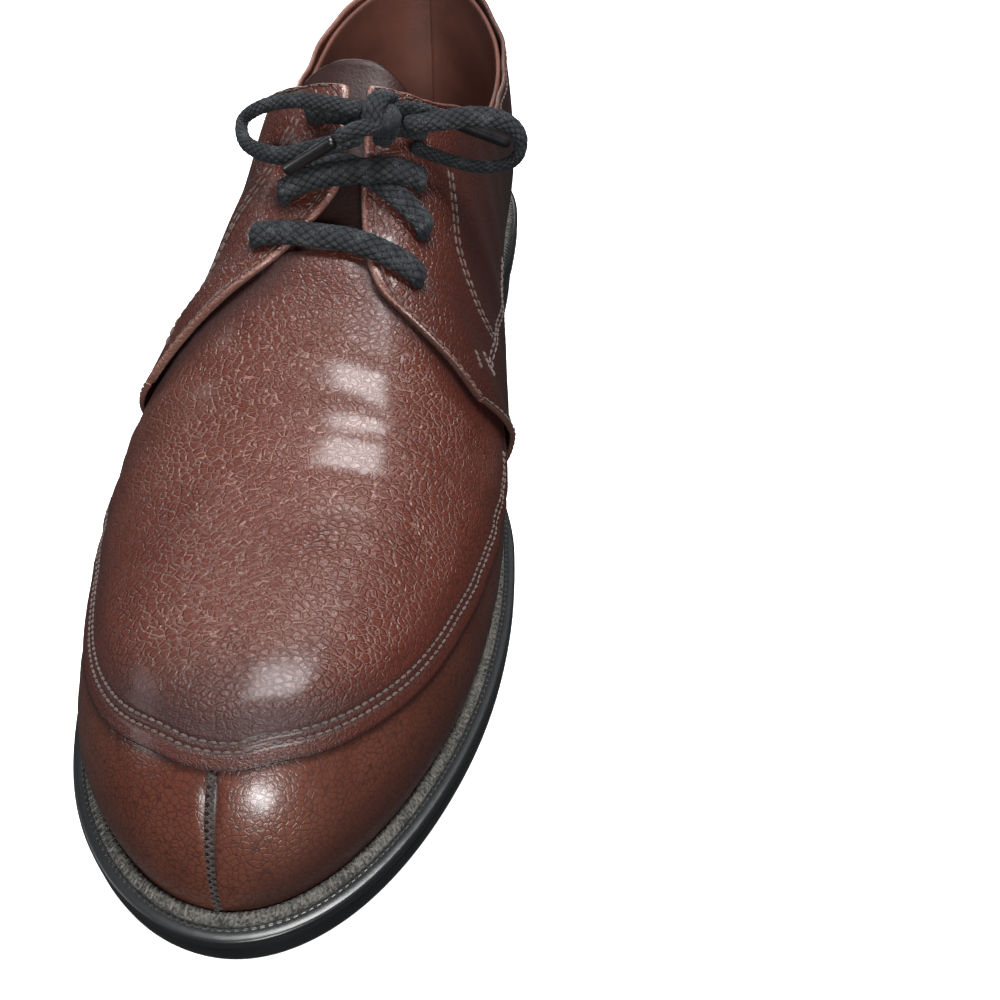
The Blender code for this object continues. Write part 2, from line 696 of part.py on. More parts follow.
def strap(name, path, face, width, thick, group, mat, sides=10):
    """Flattened lace along a path, its flat side towards `face`, closed at both ends."""
    path, face = np.asarray(path, float), np.asarray(face, float)
    ahead = np.gradient(path, axis=0)
    ahead /= np.linalg.norm(ahead, axis=1, keepdims=True)
    across = np.cross(ahead, face)
    across /= np.linalg.norm(across, axis=1, keepdims=True)
    normal = np.cross(across, ahead)
    turn = np.arange(sides) * 2 * np.pi / sides
    full = np.ones(len(path))
    full[[0, -1]] = LACE_TAPER
    wide, high = (np.outer(full, wave) for wave in (np.cos(turn) * width / 2, np.sin(turn) * thick / 2))
    rings = path[:, None] + across[:, None] * wide[..., None] + normal[:, None] * high[..., None]
    count = len(path)
    faces = [(base + c, base + (c + 1) % sides, base + sides + (c + 1) % sides, base + sides + c)
             for base in range(0, (count - 1) * sides, sides) for c in range(sides)]
    faces += [tuple(range(sides)), tuple(range((count - 1) * sides, count * sides))]
    return add_mesh(name, rings, faces, group, mat)


def over_facing(side, along, up, off):
    """Point over a facing at `off` above the quarter's outer face, with the leather's normal."""
    return on_last(along, side, up, quarter_off(along, side, up) + off), last_normal(along, side, up)


def lace_bar(name, first, second, arch, group, mat):
    """Bar of lace that follows the last from one eyelet over the ridge to the other."""
    (_, along_a, up_a), (_, along_b, up_b) = first, second
    share = np.linspace(0, 1, 13)
    travel = (1 - up_a) + (1 - up_b)
    reach = share * travel
    side = np.where(reach < 1 - up_a, -1, 1)
    up = np.where(side < 0, up_a + reach, 1 - (reach - (1 - up_a)))
    along = along_a * (1 - share) + along_b * share
    rest = LACE_THICK / 2 + LACE_CLEAR + arch * np.sin(np.pi * share)
    path = on_last(along, side, up, quarter_off(along, side, up) + rest)
    return strap(name, path, last_normal(along, side, up), LACE_WIDTH, LACE_THICK, group, mat)


def join(obj, other):
    """Fuse another solid into this one and turn the other into its cutter."""
    other.hide_render = True
    other.display_type = "WIRE"
    cut(obj, other, "UNION")


def move_to(obj, group):
    for owner in list(obj.users_collection):
        owner.objects.unlink(obj)
    group.objects.link(obj)


def make_laces(group, cutter_group, mats):
    """Bottom bar, the crossing above it, and the feeds that meet in the knot."""
    places = eyelet_places()
    outer, inner = places[0::2], places[1::2]
    lace_bar("lace_bar", outer[0], inner[0], BAR_ARCH, group, mats["lace"])
    crossing = lace_bar("lace_crossing", outer[1], inner[2], OVER_ARCH, group, mats["lace"])
    under = lace_bar("lace_under", outer[2], inner[1], UNDER_ARCH, cutter_group, mats["lace"])
    join(crossing, under)


def cord(name, points, diameter, group, mat, count):
    """Round cord on a poly spline through its route."""
    curve = bpy.data.curves.new(name, "CURVE")
    curve.dimensions = "3D"
    curve.bevel_depth = diameter / 2
    curve.bevel_resolution = 2
    curve.use_fill_caps = True
    path = spline_through(points, count)
    spline = curve.splines.new("POLY")
    spline.points.add(count - 1)
    spline.points.foreach_set("co", np.column_stack([path, np.ones(count)]).ravel())
    curve.materials.append(mat)
    obj = bpy.data.objects.new(name, curve)
    group.objects.link(obj)
    return obj


def make_knot(group, cutter_group, mats):
    """Knot of the bow, fused with the two feeds that come up from the top eyelets."""
    bm = bmesh.new()
    bmesh.ops.create_icosphere(bm, subdivisions=2, radius=1.0)
    _, along, up = eyelet_places()[-1]
    slope = last_normal(along, 1, (1 + up) / 2)
    turn = Vector((0, 0, 1)).rotation_difference(Vector(slope)).to_matrix()
    for vert in bm.verts:
        vert.co = turn @ Vector([c * s for c, s in zip(vert.co, KNOT_SIZE)]) + Vector(KNOT_CENTRE)
    mesh = bpy.data.meshes.new("bow_knot")
    bm.to_mesh(mesh)
    bm.free()
    mesh.materials.append(mats["lace"])
    mesh.shade_smooth()
    knot = bpy.data.objects.new("bow_knot", mesh)
    group.objects.link(knot)
    for side, along, up in eyelet_places()[-2:]:
        start, face = over_facing(side, along, up, LACE_TAPER * LACE_THICK / 2 + GAP)
        share = np.linspace(0, 1, 6)[:, None]
        path = start * (1 - share) + (np.array(KNOT_CENTRE) - (0, 0, FEED_DROP)) * share
        feed = strap("feed_" + SIDE_NAME[side], path, np.broadcast_to(face, path.shape), FEED_WIDTH,
                     LACE_THICK, cutter_group, mats["lace"])
        join(knot, feed)
    return knot


def aglet(name, end, ahead, group, mat):
    """Hard tip: a short rod past the end of its lace."""
    ahead = Vector(ahead).normalized()
    centre = Vector(end) + ahead * (AGLET_LENGTH / 2 + GAP)
    bpy.ops.mesh.primitive_cylinder_add(vertices=12, radius=AGLET_DIAMETER / 2, depth=AGLET_LENGTH,
                                        location=centre)
    obj = bpy.context.object
    obj.name = obj.data.name = name
    obj.rotation_mode = "QUATERNION"
    obj.rotation_quaternion = Vector((0, 0, 1)).rotation_difference(ahead)
    obj.data.materials.append(mat)
    obj.data.shade_smooth()
    obj.data.set_sharp_from_angle(angle=np.radians(35))
    move_to(obj, group)
    return obj


def make_bow(group, cutter_group, mats):
    make_knot(group, cutter_group, mats)
    cord("bow_loop_outer", LEFT_LOOP, CORD_DIAMETER, group, mats["lace"], 25)
    cord("bow_loop_inner", RIGHT_LOOP, CORD_DIAMETER, group, mats["lace"], 24)
    for name, route in (("front", FRONT_END), ("back", BACK_END)):
        cord("lace_end_" + name, route, END_DIAMETER, group, mats["lace"], 7)
        last, before = np.array(route[-1]), np.array(route[-2])
        aglet("aglet_" + name, last, last - before, group, mats["aglet"])


def main():
    clear_scene()
    shoe = bpy.data.collections.new("split_toe_derby")
    cutting = bpy.data.collections.new("cutters")
    for group in (shoe, cutting):
        bpy.context.scene.collection.children.link(group)
    mats = {
        "vamp": material("vamp_leather", (0.10, 0.022, 0.014), 0.36),
        "apron": material("apron_leather", (0.13, 0.035, 0.024), 0.38),
        "quarter": material("quarter_leather", (0.11, 0.026, 0.018), 0.36),
        "tongue": material("tongue_leather", (0.08, 0.02, 0.014), 0.5),
        "insole": material("insole_leather", (0.25, 0.12, 0.07), 0.6),
        "welt": material("welt_leather", (0.10, 0.09, 0.075), 0.7),
        "sole": material("sole_edge", (0.012, 0.013, 0.014), 0.35),
        "heel": material("heel_stack", (0.012, 0.012, 0.013), 0.4),
        "rubber": material("top_piece_rubber", (0.01, 0.01, 0.01), 0.7),
        "lace": material("lace_cotton", (0.008, 0.010, 0.016), 0.85),
        "aglet": material("aglet_plastic", (0.01, 0.01, 0.01), 0.2),
    }
    cutters = {"topline": topline_cutter(cutting), "throat": throat_cutter(cutting),
               "punch": eyelet_cutter(cutting)}
    for side, name in SIDE_NAME.items():
        cutters["facing_" + name] = facing_cutter(side, cutting)
        cutters["front_" + name] = front_edge_cutter(side, cutting)
    make_upper(shoe, cutters, mats["vamp"])
    for side in (1, -1):
        make_quarter(side, shoe, cutters, mats["quarter"])
    make_apron(shoe, mats["apron"])
    make_tongue(shoe, mats["tongue"])
    make_insole(shoe, mats["insole"])
    make_welt(shoe, mats["welt"])
    make_outsole(shoe, mats["sole"])
    make_heel(shoe, mats)
    make_laces(shoe, cutting, mats)
    make_bow(shoe, cutting, mats)


main()
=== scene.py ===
# Split toe derby, the wearer's right shoe: leather, stitching, laces, finish, light and camera.
# The shoe's heel points to +Y and its toe to -Y, the foot's inner side to +X. Lengths are in metres.
import bpy
import numpy as np
from mathutils import Matrix


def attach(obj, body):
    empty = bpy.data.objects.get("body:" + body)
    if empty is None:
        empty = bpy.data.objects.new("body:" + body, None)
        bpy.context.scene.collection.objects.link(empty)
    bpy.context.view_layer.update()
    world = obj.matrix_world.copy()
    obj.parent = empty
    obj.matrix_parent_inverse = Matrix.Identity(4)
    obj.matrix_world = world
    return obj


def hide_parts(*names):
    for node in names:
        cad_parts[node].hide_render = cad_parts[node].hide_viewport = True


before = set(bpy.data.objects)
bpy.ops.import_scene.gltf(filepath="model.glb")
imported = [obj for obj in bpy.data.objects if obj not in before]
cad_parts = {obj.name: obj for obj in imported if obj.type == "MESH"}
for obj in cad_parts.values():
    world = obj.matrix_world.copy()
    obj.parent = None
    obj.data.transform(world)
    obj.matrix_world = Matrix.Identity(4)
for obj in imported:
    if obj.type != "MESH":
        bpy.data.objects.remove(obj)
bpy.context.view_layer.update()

print("frame loaded")

# Camera: the photograph looks down on the toe from the front, turned a little to the inner side
photoView = {
    "place": (0.0740, -0.2451, 0.2379),
    "turn": 6.7,        # degrees away from straight along the shoe
    "tilt": 44.9,       # degrees below level
    "lens": 40.97,      # on a film 36 mm wide
    "rise": 0.005,      # the picture's middle lies this share of its width over the optical axis
}


def makeCamera():
    # Looks along level * cos(tilt) + down * sin(tilt), after a turn about the vertical
    turn, tilt = np.radians(photoView["turn"]), np.radians(photoView["tilt"])
    right = np.array((np.cos(turn), np.sin(turn), 0))
    level = np.array((-np.sin(turn), np.cos(turn), 0))
    down = np.array((0, 0, -1.0))
    ahead = level * np.cos(tilt) + down * np.sin(tilt)
    up = np.cross(right, ahead)
    data = bpy.data.cameras.new("photoCamera")
    data.lens, data.sensor_width, data.shift_y = photoView["lens"], 36, photoView["rise"]
    camera = bpy.data.objects.new("photoCamera", data)
    bpy.context.scene.collection.objects.link(camera)
    turned = Matrix([[*row] for row in np.stack([right, up, -ahead], 1)]).to_4x4()
    camera.matrix_world = Matrix.Translation(photoView["place"]) @ turned
    bpy.context.scene.camera = camera


# The last that all leather follows, with the same sizes as the solids
last = {
    "length": 0.296, "ballHalf": 0.0462, "middle": 0.0029,
    "heelLift": 0.0192, "toeSpring": 0.0080, "instepRise": 0.0820,
    "swell": 0.0040, "swellUp": 0.16, "swellFade": 0.60,
    "heelCurve": 0.0050, "heelReach": 0.12, "toeRound": 0.86, "toePower": 2.6,
    "soleFlat": 0.0004, "feather": 0.0104,   # height of the feather line at the ball
}
planTable = np.array([
    # along, inner half, outer half, bend of the middle line
    (0.00, 1.02, 1.02, 0.00), (0.10, 0.98, 0.99, 0.01), (0.18, 0.82, 0.88, 0.03),
    (0.30, 0.66, 0.80, 0.06), (0.42, 0.66, 0.82, 0.09), (0.54, 0.775, 1.08, 0.10),
    (0.66, 0.955, 1.27, 0.085), (0.72, 1.025, 1.28, 0.075), (0.80, 1.10, 1.27, 0.06),
    (0.88, 1.145, 1.31, 0.055), (0.94, 1.17, 1.345, 0.06), (1.00, 1.20, 1.33, 0.065),
])
sectionTable = np.array([
    # along, ridge, crown power, wall power, inner swell, outer swell
    (0.00, 1.90, 1.30, 1.00, 1.00, 1.00), (0.10, 1.88, 2.05, 1.00, 1.00, 1.00),
    (0.20, 1.75, 1.75, 1.00, 1.00, 0.90), (0.30, 1.52, 1.15, 1.00, 1.25, 0.70),
    (0.40, 1.27, 0.86, 1.00, 1.45, 0.60), (0.50, 1.00, 0.74, 0.98, 1.40, 0.65),
    (0.60, 0.785, 0.80, 0.92, 1.10, 0.80), (0.70, 0.625, 0.82, 0.88, 0.80, 0.75),
    (0.80, 0.555, 0.80, 0.85, 0.75, 0.75), (0.90, 0.495, 0.80, 0.85, 0.62, 0.62),
    (1.00, 0.455, 0.80, 0.85, 0.50, 0.50),
])
liftTable = np.array([
    # along, heel lift, toe spring
    (0.00, 1.00, 0.00), (0.10, 0.98, 0.00), (0.20, 0.92, 0.00), (0.30, 0.76, 0.00), (0.42, 0.42, 0.00),
    (0.54, 0.14, 0.00), (0.66, 0.00, 0.00), (0.74, 0.00, 0.06), (0.82, 0.00, 0.25), (0.90, 0.00, 0.55),
    (1.00, 0.00, 1.00),
])
heelBackTable = np.array([
    # up, out
    (0.00, 0.00), (0.10, 0.70), (0.20, 1.00), (0.35, 0.60), (0.60, -0.80), (1.00, -4.00),
])
toplineTable = np.array([
    # along, height over the feather line as a share of the instep's rise
    (0.00, 0.760), (0.08, 0.700), (0.16, 0.640), (0.24, 0.665), (0.32, 0.800),
    (0.38, 0.985), (0.437, 1.165), (0.47, 1.400),
])


def smooth(table, column, at):
    # Natural cubic through one column: second slopes from the usual three-term rows, then a cubic per span
    xs, ys = table[:, 0], table[:, column]
    step = np.diff(xs)
    rows = np.eye(len(xs))
    right = np.zeros(len(xs))
    inside = np.arange(1, len(xs) - 1)
    rows[inside, inside - 1], rows[inside, inside] = step[:-1], 2 * (step[:-1] + step[1:])
    rows[inside, inside + 1] = step[1:]
    right[inside] = 6 * np.diff(np.diff(ys) / step)
    bend = np.linalg.solve(rows, right)
    at = np.asarray(at, float)
    i = np.clip(np.searchsorted(xs, at) - 1, 0, len(xs) - 2)
    d, h = at - xs[i], step[i]
    slope = (ys[i + 1] - ys[i]) / h - h * (2 * bend[i] + bend[i + 1]) / 6
    return ys[i] + d * slope + d * d * bend[i] / 2 + d ** 3 * (bend[i + 1] - bend[i]) / (6 * h)


def ease(x):
    # 0 below 0, 1 above 1, and 3x squared less 2x cubed between
    x = np.clip(x, 0, 1)
    return x * x * (3 - 2 * x)


def lump(x, width):
    # Bell that is 1 at x = 0 and has fallen to a third at x = width
    return np.exp(-(np.asarray(x) / width) ** 2)


def bottomLift(along):
    # Height of the last over the floor: lift of the heel and spring of the toe
    return last["heelLift"] * smooth(liftTable, 1, along) + last["toeSpring"] * smooth(liftTable, 2, along)


def seat(along):
    # Height of the feather line, where the upper meets the welt
    return bottomLift(along) + last["feather"]


def middleLine(along):
    # Bend of the middle line to the inner side
    return last["middle"] + last["ballHalf"] * smooth(planTable, 3, along)


def ridgeRise(along):
    # Ridge over the feather line, turned down over the toe as a rounded square
    nose = np.clip((along - last["toeRound"]) / (1 - last["toeRound"]), 0, 1)
    rise = np.sqrt(np.clip(1 - nose ** last["toePower"], 0, None))
    return last["instepRise"] * smooth(sectionTable, 1, along) * rise


def lastPoint(along, side, up):
    # Section: half breadth times a power of cos(up), height times a power of sin(up), plus a swell low down
    along, side, up = np.broadcast_arrays(np.asarray(along, float), side, np.asarray(up, float))
    turn = up * np.pi / 2
    over, rise = np.clip(np.cos(turn), 0, 1), np.clip(np.sin(turn), 0, 1)
    closing = 2 * np.sqrt(np.clip(along * (1 - along), 0, None))
    half = np.where(side > 0, smooth(planTable, 1, along), smooth(planTable, 2, along)) * closing
    swell = np.where(side > 0, smooth(sectionTable, 4, along), smooth(sectionTable, 5, along))
    rising = up / last["swellUp"]
    bulge = last["swell"] * swell * rising * np.exp(1 - rising) * over
    bulge = bulge * np.minimum(1, closing / last["swellFade"])
    heel = np.clip(1 - along / last["heelReach"], 0, 1) ** 2
    heel = heel * last["heelCurve"] * smooth(heelBackTable, 1, up)
    x = middleLine(along) + side * (last["ballHalf"] * half * over ** smooth(sectionTable, 2, along) + bulge)
    y = last["length"] * (0.5 - along) + heel
    z = seat(along) + ridgeRise(along) * rise ** smooth(sectionTable, 3, along)
    return np.stack([x, y, z], -1)


def lastNormal(along, side, up):
    # Cross product of small steps along the last and up it, never pointing down
    along, side, up = np.broadcast_arrays(np.asarray(along, float), side, np.asarray(up, float))
    step = 1e-4
    a, u = np.clip(along, 4e-4, 1 - 4e-4), np.clip(up, 2e-3, 1 - 2e-3)
    forward = lastPoint(a + step, side, u) - lastPoint(a - step, side, u)
    upward = lastPoint(a, side, u + step) - lastPoint(a, side, u - step)
    out = np.cross(upward, forward) * np.asarray(side, float)[..., None]
    out[..., 0] = np.where((along < 4e-4) | (up > 1 - 1e-6), 0, out[..., 0])
    out[..., 2] = np.maximum(out[..., 2], 0)
    return unit(out)


def unit(v):
    # Direction of each vector
    return v / np.maximum(np.linalg.norm(v, axis=-1, keepdims=True), 1e-12)


def upAtHeight(along, height):
    # Undoes the section's height: the place up the side that lies `height` over the feather line
    share = np.clip(height / np.maximum(ridgeRise(along), 1e-6), 0, 1)
    return np.arcsin(share ** (1 / smooth(sectionTable, 3, along))) * 2 / np.pi


def toplineUp(along):
    # Place up the side of the edge that the foot goes in by
    return upAtHeight(along, last["instepRise"] * smooth(toplineTable, 1, along))


# Meshes
def newObject(name, points, faceLists, paint, stands=()):
    # One mesh from an array of points and arrays of faces; each face array has its own number of corners
    mesh = bpy.data.meshes.new(name)
    points = np.asarray(points, np.float32).reshape(-1, 3)
    corners = np.concatenate([np.asarray(f, np.int32).ravel() for f in faceLists])
    sizes = np.concatenate([np.full(len(f), np.shape(f)[1], np.int32) for f in faceLists])
    mesh.vertices.add(len(points))
    mesh.vertices.foreach_set("co", points.ravel())
    mesh.loops.add(len(corners))
    mesh.loops.foreach_set("vertex_index", corners)
    mesh.polygons.add(len(sizes))
    mesh.polygons.foreach_set("loop_start", np.concatenate([[0], np.cumsum(sizes)[:-1]]).astype(np.int32))
    mesh.update(calc_edges=True)
    mesh.shade_smooth()
    obj = bpy.data.objects.new(name, mesh)
    bpy.context.scene.collection.objects.link(obj)
    mesh.materials.append(paint)
    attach(obj, "root")
    if stands:
        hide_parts(*stands)
    return obj


def addAttribute(obj, name, values):
    # One number per point, which a material reads by its name
    layer = obj.data.attributes.new(name, "FLOAT", "POINT")
    layer.data.foreach_set("value", np.asarray(values, np.float32).ravel())


def runAlong(points):
    # Length travelled up to each point of a line, or along each row of a grid
    step = np.linalg.norm(np.diff(points, axis=-2), axis=-1)
    return np.concatenate([np.zeros_like(step[..., :1]), np.cumsum(step, axis=-1)], axis=-1)


def gridQuads(index):
    # Four corners of every square of a grid of point numbers
    return np.stack([index[:-1, :-1], index[1:, :-1], index[1:, 1:], index[:-1, 1:]], -1).reshape(-1, 4)


def volumeOf(points, faceLists):
    # Signed volume from the corner triangles of each face
    total = 0.0
    for faces in faceLists:
        p = points[faces]
        for k in range(1, faces.shape[1] - 1):
            total += np.einsum("ij,ij->i", p[:, 0], np.cross(p[:, k], p[:, k + 1])).sum()
    return total / 6


def faceOut(points, faceLists):
    # Turns all faces round if the volume inside them comes out below 0
    if volumeOf(points, faceLists) < 0:
        return [f[:, ::-1] for f in faceLists]
    return faceLists


def closedSheet(outer, inner, roll=5):
    # Two grids and a half-round rim: rim point = middle + normal h cos(turn) + outward h sin(turn)
    rows, columns = outer.shape[:2]
    count = rows * columns
    index = np.arange(count).reshape(rows, columns)
    loop = np.concatenate([index[:-1, 0], index[-1, :-1], index[:0:-1, -1], index[0, :0:-1]])
    r, c = loop // columns, loop % columns
    inwardR = np.where(r == 0, 1, np.where(r == rows - 1, rows - 2, r))
    inwardC = np.where(c == 0, 1, np.where(c == columns - 1, columns - 2, c))
    top, under = outer[r, c], inner[r, c]
    normal, half = unit(top - under), np.linalg.norm(top - under, axis=-1, keepdims=True) / 2
    away = top - outer[inwardR, inwardC]
    away = unit(away - normal * (away * normal).sum(-1, keepdims=True))
    turn = np.arange(1, roll) * np.pi / roll
    rim = (((top + under) / 2)[None] + normal[None] * half[None] * np.cos(turn)[:, None, None]
           + away[None] * half[None] * np.sin(turn)[:, None, None])
    points = np.concatenate([outer.reshape(-1, 3), inner.reshape(-1, 3), rim.reshape(-1, 3)])
    rings = np.concatenate([loop[None], 2 * count + np.arange(rim[..., 0].size).reshape(roll - 1, -1),
                            count + loop[None]])
    ahead = np.roll(rings, -1, axis=1)
    strips = np.stack([ahead[:-1], rings[:-1], rings[1:], ahead[1:]], -1).reshape(-1, 4)
    faces = [np.concatenate([gridQuads(index), gridQuads(index)[:, ::-1] + count, strips])]
    return points, faceOut(points, faces), rim[..., 0].size


def leatherSheet(name, places, off, thick, paint, stands=(), marks=None, fromEdge=None):
    # Sheet on the last: outer face `off` outside it, inner face `thick` under that, with a rolled edge
    along, side, up = np.broadcast_arrays(*places)
    base, normal = lastPoint(along, side, up), lastNormal(along, side, up)
    off, thick = np.broadcast_to(off, along.shape), np.broadcast_to(thick, along.shape)
    outer, inner = base + normal * off[..., None], base + normal * (off - thick)[..., None]
    points, faces, rimCount = closedSheet(outer, inner)
    obj = newObject(name, points, faces, paint, stands)
    fromEdge = edgeDistance(outer) if fromEdge is None else fromEdge
    addAttribute(obj, "edge", np.concatenate([fromEdge.ravel(), fromEdge.ravel(), np.zeros(rimCount)]))
    for mark, values in (marks or {}).items():
        values = np.broadcast_to(values, along.shape).ravel()
        addAttribute(obj, mark, np.concatenate([values, values, np.full(rimCount, values.mean())]))
    return {"object": obj, "outer": outer, "normal": normal, "places": (along, side, up)}


def edgeDistance(grid):
    # Distance to the nearest of the grid's first and last columns, measured across it
    run = runAlong(grid)
    return np.minimum(run, run[:, -1:] - run)


def distanceTo(points, line):
    # Distance from every point of a grid to the nearest point of a closely spaced line
    centre = line.mean(0)
    near = line - centre
    chunks = []
    for part in np.array_split(points.reshape(-1, 3) - centre, 24):
        squared = (part ** 2).sum(1)[:, None] + (near ** 2).sum(1)[None] - 2 * part @ near.T
        chunks.append(np.sqrt(np.maximum(squared.min(1), 0)))
    return np.concatenate(chunks).reshape(points.shape[:-1])


def overLast(along, across):
    # Place named by how far it lies from the ridge: below 0 on the outer side, over 0 on the inner one
    return lastPoint(along, np.where(across < 0, -1, 1), 1 - np.abs(across))


def slide(along, across, direction, distance, steps=6):
    # Moves places over the leather: each step solves the two slopes of the last for a short straight move
    for _ in range(steps):
        h = 1e-3
        forward = (overLast(along + h, across) - overLast(along - h, across)) / (2 * h)
        sideways = (overLast(along, across + h) - overLast(along, across - h)) / (2 * h)
        rows = np.stack([forward, sideways], -1)
        square = np.einsum("nki,nkj->nij", rows, rows)
        right = np.einsum("nki,nk->ni", rows, direction * distance / steps)
        move = np.linalg.solve(square, right[..., None])[..., 0]
        along, across = along + move[:, 0], across + move[:, 1]
    return along, across


def insetPath(sheet, distance, fromTop=True, rows=slice(None)):
    # Line that follows one long edge of a sheet at a set distance inside it
    outer, normal = sheet["outer"][rows], sheet["normal"][rows]
    if fromTop:
        outer, normal = outer[:, ::-1], normal[:, ::-1]
    run = runAlong(outer)
    keep = run[:, -1] > 2 * distance
    outer, normal, run = outer[keep], normal[keep], run[keep]
    c = np.clip((run < distance).sum(1) - 1, 0, run.shape[1] - 2)
    i = np.arange(len(run))
    f = ((distance - run[i, c]) / (run[i, c + 1] - run[i, c]))[:, None]
    path = outer[i, c] * (1 - f) + outer[i, c + 1] * f
    face = unit(normal[i, c] * (1 - f) + normal[i, c + 1] * f)
    return path, face


def resample(path, spacing, *others):
    # Points at even steps along a line, with what goes along with them
    path = np.asarray(path, float)
    run = runAlong(path)
    count = max(2, int(round(run[-1] / spacing)) + 1)
    at = np.linspace(0, run[-1], count)
    return [np.stack([np.interp(at, run, v[:, k]) for k in range(3)], -1) for v in (path, *others)]


def throughPoints(points, spacing):
    # Catmull-Rom curve through given points
    p = np.asarray(points, float)
    p = np.vstack([2 * p[0] - p[1], p, 2 * p[-1] - p[-2]])
    spans = len(p) - 3
    at = np.linspace(0, spans, 40 * spans)
    i = np.minimum(at.astype(int), spans - 1)
    f = (at - i)[:, None]
    a, b, c, d = p[i], p[i + 1], p[i + 2], p[i + 3]
    bend, twist = 2 * a - 5 * b + 4 * c - d, 3 * b - a - 3 * c + d
    return resample(b + ((c - a) * f + bend * f ** 2 + twist * f ** 3) / 2, spacing)[0]


def stitchShapes(path, face, length, gap, radius, lean=0.0, rise=0.25):
    # One long bead per stitch: an ellipsoid stretched along the line, its middle `rise` radii over it
    path, face = resample(path, (length + gap) / 6, path * 0 + face)[:2]
    middle = path[3::6]
    ahead = unit(np.gradient(path, axis=0))[3::6]
    normal = unit(face[3::6])
    across = np.cross(normal, ahead)
    ahead = unit(ahead * np.cos(lean) + across * np.sin(lean))
    across = np.cross(normal, ahead)
    roundAngles = np.arange(6) * np.pi / 3
    longAngles = np.array([-60, -25, 25, 60]) * np.pi / 180
    shapeLong = np.repeat(np.sin(longAngles), 6)
    shapeWide = (np.cos(longAngles)[:, None] * np.cos(roundAngles)).ravel()
    shapeHigh = (np.cos(longAngles)[:, None] * np.sin(roundAngles)).ravel()
    shape = np.stack([np.r_[-1, shapeLong, 1], np.r_[0, shapeWide, 0], np.r_[0, shapeHigh, 0]], -1)
    size = np.array([length / 2 * 1.08, radius, radius])
    points = (middle[:, None] + normal[:, None] * radius * rise
              + np.einsum("kc,ncd->nkd", shape * size, np.stack([ahead, across, normal], 1)))
    ring = np.arange(6)
    nextRing = (ring + 1) % 6
    quads = np.concatenate([np.stack([1 + 6 * r + ring, 1 + 6 * r + nextRing, 7 + 6 * r + nextRing,
                                      7 + 6 * r + ring], -1) for r in range(3)])
    tris = np.concatenate([np.stack([0 * ring, 1 + nextRing, 1 + ring], -1),
                           np.stack([0 * ring + 25, 19 + ring, 19 + nextRing], -1)])
    start = (np.arange(len(middle)) * 26)[:, None, None]
    return points.reshape(-1, 3), (start + quads).reshape(-1, 4), (start + tris).reshape(-1, 3)


def stitchObject(name, shapes, paint):
    # All stitches of one colour in one mesh
    points, quads, tris, count = [], [], [], 0
    for p, q, t in shapes:
        points.append(p)
        quads.append(q + count)
        tris.append(t + count)
        count += len(p)
    points = np.concatenate(points)
    faces = [np.concatenate(quads), np.concatenate(tris)]
    return newObject(name, points, faceOut(points, faces), paint)


def cappedTube(rings, ends):
    # Quads round and along the rings, and a fan from each of the two end points
    index = np.arange(rings[..., 0].size).reshape(rings.shape[:2])
    wrap = np.concatenate([index, index[:, :1]], 1)
    tips = np.full(index.shape[1], index.size)
    fans = [np.stack([tips, wrap[0, :-1], wrap[0, 1:]], -1),
            np.stack([tips + 1, wrap[-1, 1:], wrap[-1, :-1]], -1)]
    points = np.concatenate([rings.reshape(-1, 3), ends])
    return points, faceOut(points, [gridQuads(wrap), np.concatenate(fans)])


def framesAlong(path, face):
    # Tangent, sideways and facing directions at each point of a line
    ahead = unit(np.gradient(path, axis=0))
    across = unit(np.cross(ahead, face))
    return ahead, across, np.cross(across, ahead)


def turningFaces(path, first):
    # Facing direction carried along a line with no twist, by taking out each step's tangent
    ahead = unit(np.gradient(path, axis=0))
    faces = np.empty_like(path)
    face = np.asarray(first, float)
    for i, t in enumerate(ahead):
        face = face - t * (face @ t)
        face = face / np.linalg.norm(face)
        faces[i] = face
    return faces


def braidedCord(name, path, face, width, thick, paint, stands=(), relief=0.09, plaits=8):
    # Flat tube with a plaited face: radius times 1 + relief (square root of |sin(a + b) sin(a - b)| - 0.5),
    # drawn in to a round end of half its thickness at both ends
    sides = 8 * plaits
    _, across, normal = framesAlong(path, face)
    run = runAlong(path)
    turn = np.arange(sides) * 2 * np.pi / sides
    slant = run * plaits * 2 / (np.mean(width) + np.mean(thick))
    a, b = plaits * turn[None] / 2, (slant * 0.62)[:, None]
    plait = np.sqrt(np.abs(np.sin(a + b) * np.sin(a - b)))
    swell = 1 + relief * (plait - 0.5)
    inward = (1 - np.minimum(run, run[-1] - run) / (np.mean(thick) / 2)).clip(0, 1)
    swell = swell * np.sqrt(np.clip(1 - inward ** 2, 0.02, 1))[:, None]
    rings = (path[:, None] + across[:, None] * (np.cos(turn) * swell * width / 2)[..., None]
             + normal[:, None] * (np.sin(turn) * swell * thick / 2)[..., None])
    points, faces = cappedTube(rings, path[[0, -1]])
    obj = newObject(name, points, faces, paint, stands)
    addAttribute(obj, "plait", np.r_[plait.ravel(), 0.5, 0.5])
    return obj


# Shader wiring
class Wire:
    # A socket whose sums and products become Math nodes
    def __init__(self, paint, socket):
        self.paint, self.socket = paint, socket

    def maths(self, operation, first, second):
        return self.paint.node("ShaderNodeMath", {"operation": operation}, {0: first, 1: second})

    def __add__(self, other):
        return self.maths("ADD", self, other)

    def __radd__(self, other):
        return self.maths("ADD", other, self)

    def __sub__(self, other):
        return self.maths("SUBTRACT", self, other)

    def __rsub__(self, other):
        return self.maths("SUBTRACT", other, self)

    def __mul__(self, other):
        return self.maths("MULTIPLY", self, other)

    def __rmul__(self, other):
        return self.maths("MULTIPLY", other, self)


